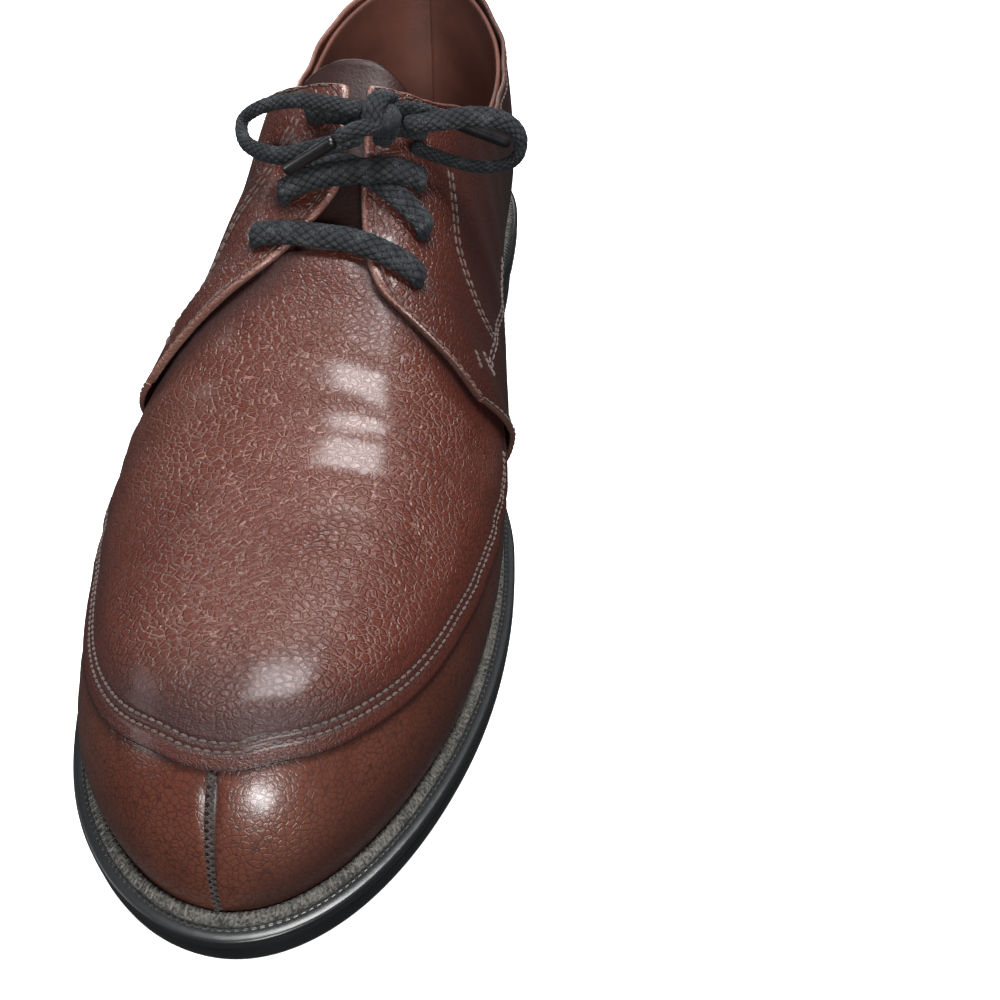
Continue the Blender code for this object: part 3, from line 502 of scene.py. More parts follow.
class Finish:
    # A material with its Principled shader, and one way to add any other node
    def __init__(self, name, colour, roughness, **fixed):
        self.material = bpy.data.materials.new(name)
        self.material.use_nodes = True
        self.tree = self.material.node_tree
        self.shader = self.tree.nodes["Principled BSDF"]
        self.set("Base Color", (*colour, 1.0))
        self.set("Roughness", roughness)
        for socket, value in fixed.items():
            self.set(socket.replace("_", " "), value)

    def set(self, socket, value):
        # Links or sets one input of the Principled shader
        target = self.shader.inputs[socket]
        if isinstance(value, Wire):
            self.tree.links.new(value.socket, target)
        else:
            target.default_value = value

    def node(self, kind, settings=None, values=None, output=0):
        # Adds a node: its settings first, then the values or links of its inputs
        made = self.tree.nodes.new(kind)
        for key, value in (settings or {}).items():
            setattr(made, key, value)
        for key, value in (values or {}).items():
            target = made.inputs[key] if isinstance(key, int) else self.find(made.inputs, key)
            if isinstance(value, Wire):
                self.tree.links.new(value.socket, target)
            else:
                target.default_value = value
        result = made.outputs[output] if isinstance(output, int) else self.find(made.outputs, output)
        return Wire(self, result)

    @staticmethod
    def find(sockets, name):
        for socket in sockets:
            if socket.identifier == name or (socket.name == name and socket.enabled):
                return socket
        raise KeyError(name)

    def coords(self, scale=(1, 1, 1)):
        place = self.node("ShaderNodeTexCoord", output="Object")
        return self.node("ShaderNodeMapping", None, {"Vector": place, "Scale": scale})

    def noise(self, place, scale, detail=3.0):
        return self.node("ShaderNodeTexNoise", None,
                         {"Vector": place, "Scale": scale, "Detail": detail, "Roughness": 0.55}, output="Fac")

    def cells(self, place, scale):
        # Distance to the nearest edge between cells
        return self.node("ShaderNodeTexVoronoi", {"feature": "DISTANCE_TO_EDGE"},
                         {"Vector": place, "Scale": scale}, output="Distance")

    def bent(self, place, scale, amount):
        # Coordinates pushed about by a noise
        push = self.node("ShaderNodeTexNoise", None, {"Vector": place, "Scale": scale, "Detail": 2.0},
                         output="Color")
        push = self.node("ShaderNodeVectorMath", {"operation": "SUBTRACT"}, {0: push, 1: (0.5, 0.5, 0.5)})
        push = self.node("ShaderNodeVectorMath", {"operation": "SCALE"}, {0: push, "Scale": amount})
        return self.node("ShaderNodeVectorMath", {"operation": "ADD"}, {0: place, 1: push})

    def between(self, value, low, high, to=(0.0, 1.0)):
        # Smooth step from one level to the other as the value goes from low to high
        return self.node("ShaderNodeMapRange", {"interpolation_type": "SMOOTHSTEP"},
                         {"Value": value, "From Min": low, "From Max": high,
                          "To Min": to[0], "To Max": to[1]})

    def mix(self, factor, first, second):
        def colour(c):
            return c if isinstance(c, Wire) else (*c, 1.0)
        return self.node("ShaderNodeMix", {"data_type": "RGBA"},
                         {"Factor_Float": factor, "A_Color": colour(first), "B_Color": colour(second)},
                         output="Result_Color")

    def mark(self, name):
        # A number stored on the piece's points
        return self.node("ShaderNodeAttribute", {"attribute_name": name}, output="Fac")

    def bump(self, height, distance):
        self.set("Normal", self.node("ShaderNodeBump", None,
                                     {"Height": height, "Distance": distance, "Strength": 1.0},
                                     output="Normal"))


# Leather: colours from deep to worn; pebble is the grain's size in millimetres, and cracked, relief and
# everywhere say how much the cracks, the bump and the unworn grain show
apronLook = {
    "deep": (0.013, 0.0022, 0.0015), "body": (0.068, 0.0138, 0.0082), "worn": (0.098, 0.0260, 0.0165),
    "crack": (0.38, 0.20, 0.155), "rim": (0.013, 0.0022, 0.0015), "pebble": 2.1, "stretch": 1.35,
    "cracked": 0.72, "relief": 0.00034, "everywhere": 0.12, "rough": 0.34, "coat": 0.34,
}
vampLook = {
    "deep": (0.012, 0.0020, 0.0014), "body": (0.054, 0.0104, 0.0066), "worn": (0.126, 0.045, 0.028),
    "crack": (0.22, 0.10, 0.075), "rim": (0.012, 0.0020, 0.0014), "pebble": 1.4, "stretch": 1.0,
    "cracked": 0.12, "relief": 0.00007, "everywhere": 0.15, "rough": 0.30, "coat": 0.42,
}
# The quarters' rim colour is the pale pinkish cut edge of the facings with a painted highlight of their
# rolled edge in it
quarterLook = {
    "deep": (0.010, 0.0017, 0.0011), "body": (0.050, 0.0088, 0.0056), "worn": (0.082, 0.0215, 0.0140),
    "crack": (0.24, 0.11, 0.085), "rim": (0.230, 0.110, 0.085), "pebble": 1.6, "stretch": 1.0,
    "cracked": 0.30, "relief": 0.00019, "everywhere": 0.20, "rough": 0.32, "coat": 0.36,
}
grain = {
    "bendScale": 300, "bend": 0.0016, "fine": 2.6, "cloud": 22, "patch": 75, "speck": 900,
    "groove": 0.11, "crack": 0.042, "pillow": 0.20, "rim": (0.0001, 0.0009), "coatRough": 0.21,
    "shadeAndStainRough": 0.26, "shadeAndStainCoat": 0.75,       # where the tone is 1 the gloss is duller by these
}


def grainedLeather(name, look):
    # Pebbles from two sizes of cells; cracks are the widest cell edges where the worn mark is high
    finish = Finish(name, look["body"], look["rough"], Coat_Weight=look["coat"],
                    Coat_Roughness=grain["coatRough"], Specular_IOR_Level=0.42)
    stretched = finish.coords((1.0, look["stretch"], look["stretch"]))
    place = finish.bent(stretched, grain["bendScale"], grain["bend"])
    wide = finish.cells(place, 1000 / look["pebble"])
    fine = finish.cells(place, 1000 * grain["fine"] / look["pebble"])
    cloud = finish.noise(finish.coords(), grain["cloud"], 4)
    patch = finish.noise(finish.coords(), grain["patch"], 3)
    speck = finish.noise(finish.coords(), grain["speck"], 2)
    tone, worn, edge = finish.mark("tone"), finish.mark("worn"), finish.mark("edge")
    groove = finish.between(wide, 0.0, grain["groove"], (1.0, 0.0))
    crack = finish.between(wide, 0.0, grain["crack"], (1.0, 0.0))
    crack = crack * finish.between(patch + worn * 0.45, 0.58, 0.82)
    colour = finish.mix(finish.between(cloud, 0.30, 0.72) * 0.55 + worn * 0.45, look["body"], look["worn"])
    colour = finish.mix(finish.between(patch, 0.35, 0.75) * 0.35, colour, look["body"])
    # Painted shade in the grooves between the pebbles
    colour = finish.mix(groove * 0.62, colour, look["deep"])
    colour = finish.mix(crack * look["cracked"] * worn, colour, look["crack"])
    # Edge colour on the outer 0.9 mm and the rolled rim: dark cut edges on apron and vamp, pale on the
    # quarters with a painted highlight
    colour = finish.mix(finish.between(edge, *grain["rim"], (0.85, 0.0)), colour, look["rim"])
    # The tone mark darkens towards deep: painted shade round the eyelets, low on the sides, under the apron's
    # edge, beside the facings and in stitch dips, plus the darker apron edge band, burnished toe and split
    # seam
    colour = finish.mix(tone, colour, look["deep"])
    finish.set("Base Color", colour)
    dull = (cloud + groove + crack) * 0.10 + tone * grain["shadeAndStainRough"]
    finish.set("Roughness", look["rough"] - 0.06 + dull)
    finish.set("Coat Weight", look["coat"] - tone * (look["coat"] * grain["shadeAndStainCoat"]))
    height = (finish.between(wide, 0.0, grain["pillow"]) * (worn * 0.85 + look["everywhere"])
              + finish.between(fine, 0.0, 0.3) * 0.16 + speck * 0.08 + patch * 0.35)
    finish.bump(height, look["relief"])
    return finish.material


def plainFinish(name, colour, other, roughness, scale, relief, **fixed):
    # Two close colours in clouds over a fine even tooth
    finish = Finish(name, colour, roughness, **fixed)
    place = finish.coords()
    cloud, tooth = finish.noise(place, scale, 4), finish.noise(place, scale * 14, 2)
    finish.set("Base Color", finish.mix(finish.between(cloud, 0.3, 0.7), colour, other))
    finish.set("Roughness", roughness - 0.05 + cloud * 0.10)
    finish.bump(tooth + cloud * 0.4, relief)
    return finish.material


def laceFinish():
    # Navy-black cotton: painted shade between the plaits and painted light on their tops, dusty in clouds,
    # with a soft fuzz
    finish = Finish("laceCotton", (0.012, 0.014, 0.018), 0.92, Sheen_Weight=0.08, Sheen_Roughness=0.5,
                    Sheen_Tint=(0.35, 0.42, 0.52, 1.0), Specular_IOR_Level=0.15)
    plait = finish.mark("plait")
    fuzz = finish.noise(finish.coords(), 2600, 3)
    cloud = finish.noise(finish.coords(), 260, 3)
    # Painted shade in the gaps between plaits and painted light on their tops
    colour = finish.mix(finish.between(plait, 0.15, 0.85), (0.0040, 0.0043, 0.0048), (0.019, 0.0205, 0.0225))
    dust = finish.between(fuzz * 0.6 + cloud * 0.5, 0.52, 0.80) * 0.6
    colour = finish.mix(dust, colour, (0.098, 0.104, 0.111))
    finish.set("Base Color", colour)
    finish.bump(fuzz + plait * 0.8, 0.00025)
    return finish.material


def weltFinish():
    # Black lip, and a bead of grey-beige frayed thread where the bead mark is 1
    finish = Finish("weltLeather", (0.012, 0.012, 0.012), 0.45, Specular_IOR_Level=0.6)
    bead = finish.mark("bead")
    fray = finish.noise(finish.coords(), 1500, 3)
    cloud = finish.noise(finish.coords(), 200, 3)
    thread = finish.mix(finish.between(fray * 0.7 + cloud * 0.3, 0.38, 0.62), (0.014, 0.013, 0.011),
                        (0.115, 0.108, 0.094))
    finish.set("Base Color", finish.mix(bead, (0.010, 0.011, 0.012), thread))
    finish.set("Roughness", 0.34 + bead * 0.5)
    finish.bump(fray * bead + cloud * 0.2, 0.0005)
    return finish.material


def threadFinish(name, colour, other):
    # Two close colours in small clouds over a very fine tooth
    finish = Finish(name, colour, 0.75, Sheen_Weight=0.2)
    cloud = finish.noise(finish.coords(), 700, 3)
    finish.set("Base Color", finish.mix(finish.between(cloud, 0.3, 0.7), colour, other))
    finish.bump(finish.noise(finish.coords(), 4000, 2), 0.00008)
    return finish.material


finishes = {
    # a plain finish gives its two colours, roughness, scale of the clouds and depth of the bump
    "apron": grainedLeather("apronLeather", apronLook),
    "vamp": grainedLeather("vampLeather", vampLook),
    "quarter": grainedLeather("quarterLeather", quarterLook),
    "lining": plainFinish("liningLeather", (0.11, 0.040, 0.028), (0.075, 0.026, 0.018), 0.55, 60, 0.00010),
    # The tongue's near-black colour is painted shade of the dark throat under the laces
    "tongue": plainFinish("tongueLeather", (0.020, 0.0042, 0.0030), (0.012, 0.0028, 0.0020), 0.50, 90,
                          0.00012, Specular_IOR_Level=0.3),
    "insole": plainFinish("insoleLeather", (0.20, 0.105, 0.060), (0.13, 0.062, 0.036), 0.60, 45, 0.00010),
    "welt": weltFinish(),
    "sole": plainFinish("soleEdge", (0.0050, 0.0060, 0.0070), (0.008, 0.009, 0.010), 0.34, 90, 0.00005,
                        Coat_Weight=0.15),
    "heel": plainFinish("heelStack", (0.0075, 0.008, 0.009), (0.012, 0.012, 0.013), 0.38, 90, 0.00006),
    "rubber": plainFinish("heelRubber", (0.009, 0.009, 0.009), (0.014, 0.014, 0.014), 0.62, 200, 0.00010),
    "lace": laceFinish(),
    "aglet": plainFinish("agletPlastic", (0.005, 0.005, 0.006), (0.009, 0.009, 0.010), 0.32, 400, 0.00003,
                         Coat_Weight=0.25),
    "darkThread": threadFinish("darkThread", (0.100, 0.062, 0.050), (0.045, 0.024, 0.019)),
    "seamThread": threadFinish("seamThread", (0.040, 0.026, 0.022), (0.012, 0.007, 0.006)),
    # near-black beads that paint the shade in the welt's stitch holes
    "holeShade": threadFinish("holeShade", (0.004, 0.004, 0.004), (0.003, 0.003, 0.003)),
    "weltThread": threadFinish("weltThread", (0.120, 0.112, 0.098), (0.030, 0.028, 0.025)),
}
print("finishes made")

makeCamera()


# Leather pieces
leather = {"gap": 0.00035, "upperWall": 0.0018, "stitchSinkWide": 0.0011}
quarter = {
    "thick": 0.0014, "rimThicker": 0.0005,
    "lift": 0.0021, "liftFrom": (0.525, 0.06), "liftOver": (0.04, 0.16),    # (along, up) of the rise
    "backSeam": 0.0106,                 # angle from the heel's middle at which a quarter starts
    "foot": 0.530, "top": 0.433,        # along: where the front edge and the facing start
    "facingFrom": 0.42, "facingOver": 0.03, "roll": 0.0005, "rollReach": 0.0026,
    "collar": 0.0004, "collarReach": 0.004, "dimple": 0.0010, "dimpleWide": 0.0026,
    # the hole numbers on the next line paint shade round the eyelet holes: how dark, and how far
    "stitchSink": 0.00022, "wave": 0.00035, "holeShade": 0.7, "holeShadeReach": 0.0030,
}
vamp = {
    "throat": 0.556, "under": 0.90, "over": 0.9935, "overIn": 0.018, "wrinkle": 0.00008,
    "seamSink": 0.0006, "seamReach": 0.0016, "ridgeLong": 0.05, "apronLong": 0.09,   # metres for one `up`
}
apron = {
    "thick": 0.0010, "face": 0.00125, "rows": (0.0033, 0.0050), "stitchSink": 0.00030,
    "pillow": 0.00045, "pillowFrom": 0.006, "pillowOver": 0.007, "crown": 0.0012,
    # the stitch darkness on the next line paints shade in the dips of the stitch rows
    "edgeDark": 0.38, "stitchShade": 0.45, "toeDark": 0.55, "toeDarkAt": 0.925,
    # the facing numbers on the next line paint the shadow that each facing casts on the apron
    "facingShadow": {-1: (0.95, 0.0062), 1: (0.80, 0.0026)},      # how dark beside each facing, and how far
}
tongue = {"thick": 0.0020, "from": 0.4185, "to": 0.611, "foot": 0.715, "wave": 0.0003, "sink": 0.0004,
          "sinkFrom": 0.555}
apronEdge = np.array([
    # along, up
    (0.546, 0.800), (0.556, 0.640), (0.567, 0.350), (0.583, 0.175), (0.610, 0.170), (0.650, 0.195),
    (0.716, 0.240), (0.783, 0.290), (0.835, 0.335), (0.887, 0.428), (0.920, 0.555), (0.941, 0.760),
    (0.950, 0.900), (0.952, 1.000),
])
apronTable = np.column_stack([runAlong(apronEdge), apronEdge])   # length travelled, along, up
facingEdge = {
    # along, up; the outer side's facing is -1 and the inner side's 1
    -1: np.array([(0.437, 0.985), (0.460, 0.990), (0.503, 0.985), (0.536, 0.913), (0.556, 0.839),
                  (0.572, 0.726), (0.585, 0.593), (0.594, 0.490), (0.5975, 0.440)]),
    1: np.array([(0.437, 0.954), (0.460, 0.956), (0.503, 0.956), (0.536, 0.933), (0.556, 0.902),
                 (0.572, 0.843), (0.5835, 0.700), (0.5895, 0.560), (0.5915, 0.450)]),
}
frontEdge = {
    # along, up, from the welt to the tip
    -1: np.array([(0.530, 0.0), (0.548, 0.08), (0.570, 0.18), (0.588, 0.30), (0.5965, 0.410)]),
    1: np.array([(0.530, 0.0), (0.545, 0.09), (0.561, 0.20), (0.577, 0.32), (0.5900, 0.425)]),
}
eyelets = {
    # along, up, from the toe's end upwards
    -1: ((0.530, 0.780), (0.506, 0.849), (0.479, 0.868), (0.456, 0.915)),
    1: ((0.549, 0.730), (0.511, 0.712), (0.479, 0.730), (0.450, 0.760)),
}
# Creases and hollows of the worn front
creases = (
    # along, lean towards the outer side, height, width along, from up, to up
    (0.622, 0.010, -0.00032, 0.0085, 0.30, 1.20), (0.640, 0.012, 0.00030, 0.0100, 0.25, 1.20),
    (0.664, -0.006, -0.00030, 0.0090, 0.10, 1.20), (0.686, -0.010, 0.00030, 0.0115, 0.10, 1.20),
    (0.714, 0.008, -0.00022, 0.0095, 0.05, 1.00), (0.736, 0.004, 0.00020, 0.0130, 0.20, 1.20),
    (0.600, -0.008, -0.00040, 0.0060, 0.30, 0.75), (0.655, 0.020, -0.00028, 0.0050, 0.05, 0.45),
    (0.640, -0.018, -0.00028, 0.0050, 0.04, 0.40), (0.770, 0.010, -0.00015, 0.0110, 0.20, 1.20),
)


def worn(along, side, up):
    # Sum of creases: height times a bell along the last, faded in between the two ups
    total = np.zeros(np.broadcast_shapes(np.shape(along), np.shape(side), np.shape(up)))
    for at, lean, height, width, low, high in creases:
        centre = at + lean * side * (1 - up) + 0.006 * np.sin(5 * (1 - up) * side + 40 * at)
        shown = ease((up - low) / 0.12) * ease((high - up) / 0.15)
        total = total + height * lump(along - centre, width) * shown
    ripple = np.sin(along * 310 + 4 * up * side + 2 * np.sin(up * 9)) * np.sin(up * 17 + along * 60)
    return total + 0.00007 * ripple * ease((along - 0.58) / 0.03) * ease((0.80 - along) / 0.05)


def quarterOff(along, up):
    # Gap and thickness off the last, and an eased lift where the quarter's front lies on the vamp
    reach = (along - quarter["liftFrom"][0]) / quarter["liftOver"][0]
    rise = (up - quarter["liftFrom"][1]) / quarter["liftOver"][1]
    return leather["gap"] + quarter["thick"] + quarter["lift"] * ease(reach) * ease(rise)


def quarterFace(along, side, up):
    # Outer face of a quarter: its lift, the creases, less a dimple at each eyelet, and a slow wave along it
    sunk = quarter["dimple"] * lump(eyeletDistance(lastPoint(along, side, up), side), quarter["dimpleWide"])
    wave = quarter["wave"] * np.sin(along * 95 + side) * np.sin(up * 9 + 2) * ease(up / 0.2)
    return quarterOff(along, up) + worn(along, side, up) - sunk + wave


def alongFor(angle):
    # Even angles give closer places along the last at its two round ends
    return (1 - np.cos(angle)) / 2


def angleFor(along):
    # Undoes alongFor
    return np.arccos(np.clip(1 - 2 * np.asarray(along, float), -1, 1))


def evenCurve(angle, up, count):
    # Even steps along a curve of (angle round the last, up)
    points = np.stack([angle, up, 0 * angle], -1) * (0.10, 0.09, 1)
    run = runAlong(points)
    at = np.linspace(0, run[-1], count)
    return np.interp(at, run, angle), np.interp(at, run, up)


def denser(table, spacing=0.004):
    # An edge given as points, drawn as a smooth curve through them
    line = throughPoints(np.column_stack([table, 0 * table[:, 0]]), spacing)
    return line[:, 0], line[:, 1]


def eyeletDistance(points, side):
    # Distance from each point to the nearest eyelet of its side
    centres = np.array([lastPoint(a, side, u) for a, u in eyelets[side]])
    return np.linalg.norm(points[..., None, :] - centres, axis=-1).min(-1)


def makeQuarter(side, sideName, rows=230, columns=96):
    # Sheet of straight blends between the welt and front edge below and the topline and facing above
    bottomAngle = np.linspace(quarter["backSeam"], angleFor(quarter["foot"]), 50)
    edgeAlong, edgeUp = denser(frontEdge[side])
    low = evenCurve(np.concatenate([bottomAngle[:-1], angleFor(edgeAlong)]),
                    np.concatenate([0 * bottomAngle[:-1], edgeUp]), rows)
    topAngle = np.linspace(quarter["backSeam"], angleFor(quarter["top"]), 80)
    facingAlong, facingUp = denser(facingEdge[side])
    high = evenCurve(np.concatenate([topAngle, angleFor(facingAlong)]),
                     np.concatenate([toplineUp(alongFor(topAngle)), facingUp]), rows)
    even = np.linspace(0, 1, columns)
    share = 0.35 * (1 - np.cos(np.pi * even)) / 2 + 0.65 * even     # columns closer together at both edges
    angle, up = (a[:, None] * (1 - share) + b[:, None] * share for a, b in zip(low, high))
    along = alongFor(angle)
    base = lastPoint(along, side, up)
    run = runAlong(base)
    fromTop = run[:, -1:] - run
    atFront = ease((along - quarter["facingFrom"]) / quarter["facingOver"])
    roll = quarter["roll"] * lump(fromTop - 0.0012, quarter["rollReach"] / 2) * atFront
    collar = quarter["collar"] * lump(fromTop, quarter["collarReach"]) * (1 - atFront)
    stitchDip = quarter["stitchSink"] * lump(fromTop - 0.0024, leather["stitchSinkWide"])
    off = quarterFace(along, side, up) + roll + collar - stitchDip
    thick = quarter["thick"] + quarter["rimThicker"] * lump(fromTop, 0.002) * atFront
    # Painted shade low down on the quarter, deeper and reaching higher on the inner side
    lowShade, lowReach = (0.90, 0.48) if side > 0 else (0.45, 0.14)
    # Painted shade round each eyelet hole
    tone = quarter["holeShade"] * lump(eyeletDistance(base, side), quarter["holeShadeReach"])
    tone = tone + lowShade * lump(up, lowReach)
    # The lighter band just inside the facing's edge is painted highlight of its rolled edge; the rest is
    # wear, more of it higher up
    wear = 0.45 + 0.5 * lump(fromTop - 0.0016, 0.0016) * atFront + 0.3 * ease((up - 0.35) / 0.5)
    return leatherSheet("quarterPanel_" + sideName, (along, side, up), off, thick, finishes["quarter"],
                        ["quarter_" + sideName],
                        {"tone": np.clip(tone, 0, 1), "worn": np.clip(wear, 0, 1)})


def vampTop(along):
    # The vamp stops under the facings behind the throat's end and at the split seam in front of it
    return vamp["under"] + (vamp["over"] - vamp["under"]) * ease((along - vamp["throat"]) / vamp["overIn"])


def makeVamp(side, sideName, rows=210, columns=92):
    # Sheet from the feather line to the top, its rows closing up towards the toe as a square does
    row = np.linspace(0, 1, rows)[:, None]
    along = 1 - 0.55 * (1 - row * 0.9965) ** 2
    up = vampTop(along) * np.linspace(0, 1, columns)
    fromApron = (np.interp(along, apronEdge[:, 0], apronEdge[:, 1], right=1.2) - up) * vamp["apronLong"]
    fromRidge = (1 - up) * vamp["ridgeLong"]
    wrinkle = np.sin(along * 150 + 5 * np.sin(up * 11) + up * 9) * np.sin(up * 19 + side + along * 25)
    off = worn(along, side, up) + vamp["wrinkle"] * wrinkle * ease((0.965 - along) / 0.05)
    off = off - vamp["seamSink"] * lump(fromRidge, vamp["seamReach"]) * ease((along - 0.955) / 0.01)
    # Painted shade: a thin band just under the apron's edge, and low down on the vamp, deeper and reaching
    # higher on the inner side
    lowShade, lowReach = (0.75, 0.36) if side > 0 else (0.35, 0.16)
    tone = 0.45 * lump(np.clip(fromApron, 0, 1), 0.0018) + lowShade * lump(up, lowReach)
    tone = tone + 0.5 * lump(fromRidge, 0.0012) * ease((along - 0.95) / 0.01)
    toeWear = lump(along - 0.972, 0.020) * lump(up - 0.48, 0.20) * (0.55 + 0.45 * side)
    wear = 0.35 + 0.55 * toeWear + 0.3 * (side < 0) * lump(along - 0.88, 0.06)
    return leatherSheet("vamp_" + sideName, (along, side, up), off, leather["upperWall"], finishes["vamp"],
                        ["upper"],
                        {"tone": np.clip(tone, 0, 1), "worn": np.clip(wear, 0, 1)})


def makeLining(side, sideName, rows=110, columns=46):
    # Sheet inside the quarters, from the feather line to just under the topline and the facing
    along = alongFor(np.linspace(quarter["backSeam"], angleFor(vamp["throat"]), rows)[:, None])
    facing = np.interp(along, *facingEdge[side].T) - 0.012
    top = np.where(along < 0.437, toplineUp(np.minimum(along, 0.437)) - 0.006, facing)
    up = np.minimum(top, 0.985) * np.linspace(0, 1, columns)
    return leatherSheet("lining_" + sideName, (along, side, up), -0.00002, leather["upperWall"] - 0.0003,
                        finishes["lining"], ["upper"])


def apronLine():
    # The apron's edge from the outer side's back round the toe to the inner side's back, in even steps
    steps = np.linspace(0, apronTable[-1, 0], 700)
    along, across = smooth(apronTable, 1, steps), 1 - np.minimum(smooth(apronTable, 2, steps), 1)
    along, across = np.concatenate([along, along[-2::-1]]), np.concatenate([-across, across[-2::-1]])
    return np.array([along, across]), resample(overLast(along, across), 0.0003)[0]


def apronInset(distance, lift=0.0):
    # Line at a set distance inside the apron's edge, from where it comes out under one facing to the other
    (along, across), _ = apronLine()
    base = overLast(along, across)
    ahead = unit(np.gradient(base, axis=0))
    normal = lastNormal(along, np.where(across < 0, -1, 1), 1 - np.abs(across))
    inward = np.cross(ahead, normal)
    middle = overLast(np.array([0.75]), np.array([1e-3]))
    inward = inward * np.sign(((middle - base) * inward).sum(-1, keepdims=True))
    shown = along > 0.575
    along, across = slide(along[shown], across[shown], inward[shown], distance)
    side, up = np.where(across < 0, -1, 1), 1 - np.abs(across)
    normal = lastNormal(along, side, up)
    off = apron["face"] + worn(along, side, up) + lift
    return overLast(along, across) + normal * off[:, None], normal


def makeApron(rows=190, columns=181):
    # Rows run from the apron's edge over the ridge to its edge on the other side
    steps = np.linspace(0, apronTable[-1, 0] * 0.992, rows)
    foot = np.minimum(smooth(apronTable, 2, steps), 0.995)[:, None]
    across = np.linspace(-1, 1, columns)
    across = across * (0.72 + 0.28 * np.abs(across))
    side = np.where(across > 0, 1, -1)
    up = foot + (1 - foot) * (1 - np.abs(across))
    along = np.broadcast_to(smooth(apronTable, 1, steps)[:, None], up.shape)
    base = lastPoint(along, side, up)
    fromEdge = distanceTo(base, apronLine()[1])
    sink = sum(lump(fromEdge - row, leather["stitchSinkWide"] / 2) for row in apron["rows"])
    pillow = apron["pillow"] * ease((fromEdge - apron["pillowFrom"]) / apron["pillowOver"])
    off = apron["face"] + worn(along, side, up) - apron["stitchSink"] * sink + pillow
    off = off + apron["crown"] * lump(along - vamp["throat"], 0.016) * lump(1 - up, 0.14)
    centreWear = (lump(along - 0.70, 0.06) * lump(1 - up, 0.45) + lump(along - 0.86, 0.05) * lump(1 - up, 0.5)
                  + 0.6 * lump(along - 0.62, 0.03))
    # Darker in a 13 mm band along the edge, and painted shade in the dips of the two stitch rows
    tone = apron["edgeDark"] * ease((0.0130 - fromEdge) / 0.009) + apron["stitchShade"] * sink
    atToe = lump(along - apron["toeDarkAt"], 0.045) * ease((fromEdge - 0.002) / 0.006)
    tone = tone + apron["toeDark"] * atToe
    # Painted shadow on the apron beside each facing, wide under the lifted outer facing
    for facingSide, (strength, wide) in apron["facingShadow"].items():
        edgeAlong, edgeUp = denser(facingEdge[facingSide])
        facingLine = resample(lastPoint(edgeAlong, facingSide, edgeUp), 0.0005)[0]
        tone = np.maximum(tone, strength * lump(distanceTo(base, facingLine), wide))
    grainMid = lump(along - 0.72 - 0.06 * side * (1 - up), 0.17)
    grainMid = grainMid * (0.45 + 0.55 * lump((1 - up) * side - 0.10, 0.55))
    wear = np.clip(0.55 * grainMid + 0.55 * centreWear, 0, 1) * ease((fromEdge - 0.004) / 0.010)
    leatherSheet("apronPanel", (along, side, up), off, apron["thick"], finishes["apron"],
                 ["apron"], {"tone": np.clip(tone, 0, 1), "worn": wear}, fromEdge)


def makeTongue(rows=90, columns=60):
    # Sheet under the upper's wall, gently waved along its length
    along = np.linspace(tongue["from"], tongue["to"], rows)[:, None]
    across = np.linspace(-1, 1, columns)
    side = np.where(across > 0, 1, -1)
    up = 1 - (1 - tongue["foot"]) * np.abs(across)
    off = -leather["upperWall"] - leather["gap"] + tongue["wave"] * np.sin(along * 130) * lump(across, 0.7)
    off = off - tongue["sink"] * ease((along - tongue["sinkFrom"]) / 0.02)
    return leatherSheet("tonguePiece", (along, side, up), off, tongue["thick"], finishes["tongue"],
                        ["tongue"])


# Bottom: insole, welt, outsole and heel
bottom = {
    "weltThick": 0.0030, "weltBead": 0.0019, "beadInside": 0.0008, "weltInside": 0.0042, "weltReach": 0.0060,
    "waist": (0.20, 0.62), "waistEase": 0.12, "waistTrim": 0.62, "footClear": 0.0004, "soleInset": 0.0004,
    "soleRound": 0.0012, "insoleThick": 0.0024, "insolePlay": 0.0007, "topPiece": 0.0060, "heelTaper": 0.0016,
    "heelInset": 0.0008, "heelBreast": 0.272, "heelLifts": (0.0150, 0.0120, 0.0090), "liftNick": 0.00012,
    "quarterTip": 0.600, "beadShare": 0.52, "holeShare": 0.56,      # shares of the welt's breadth
    "sharp": 38,         # degrees past which an edge isn't shaded smooth
}


def edgeLine(along, side, grow):
    # Feather line in plan moved outwards by `grow`, its direction kept square at both ends
    angle = angleFor(along)

    def plan(a):
        return lastPoint(alongFor(a), side, np.zeros_like(a))[..., :2]

    ahead = plan(angle + 1e-3) - plan(angle - 1e-3)
    ends = (angle < 1e-3) | (angle > np.pi - 1e-3)
    ahead[ends] = (np.where(angle < 1e-3, 1.0, -1.0) * side)[ends, None] * (1.0, 0.0)
    out = np.stack([-ahead[:, 1], ahead[:, 0]], -1) * side
    return plan(angle) + unit(out) * np.asarray(grow, float)[..., None]


def weltReach(along):
    # How far the welt stands out past the feather line, less at the waist
    waist = (ease((along - bottom["waist"][0]) / bottom["waistEase"])
             * ease((bottom["waist"][1] - along) / bottom["waistEase"]))
    return bottom["weltReach"] * (1 - bottom["waistTrim"] * waist)


def quarterFoot(along):
    # How far the upper stands out at the feather line: more where the quarter covers the vamp
    behind = ease((bottom["quarterTip"] + quarter["liftOver"][0] / 2 - along) / quarter["liftOver"][0])
    return bottom["footClear"] + (leather["gap"] + quarter["thick"]) * behind


def aroundLoop(stations, grow, height):
    # The outer side from toe to heel, then the inner side back, with no point twice
    outer = np.column_stack([edgeLine(stations, -1, grow), height])
    inner = np.column_stack([edgeLine(stations, 1, grow), height])
    loop = np.concatenate([outer[::-1], inner[1:]])
    return loop[:-1] if stations[-1] >= 1 else loop


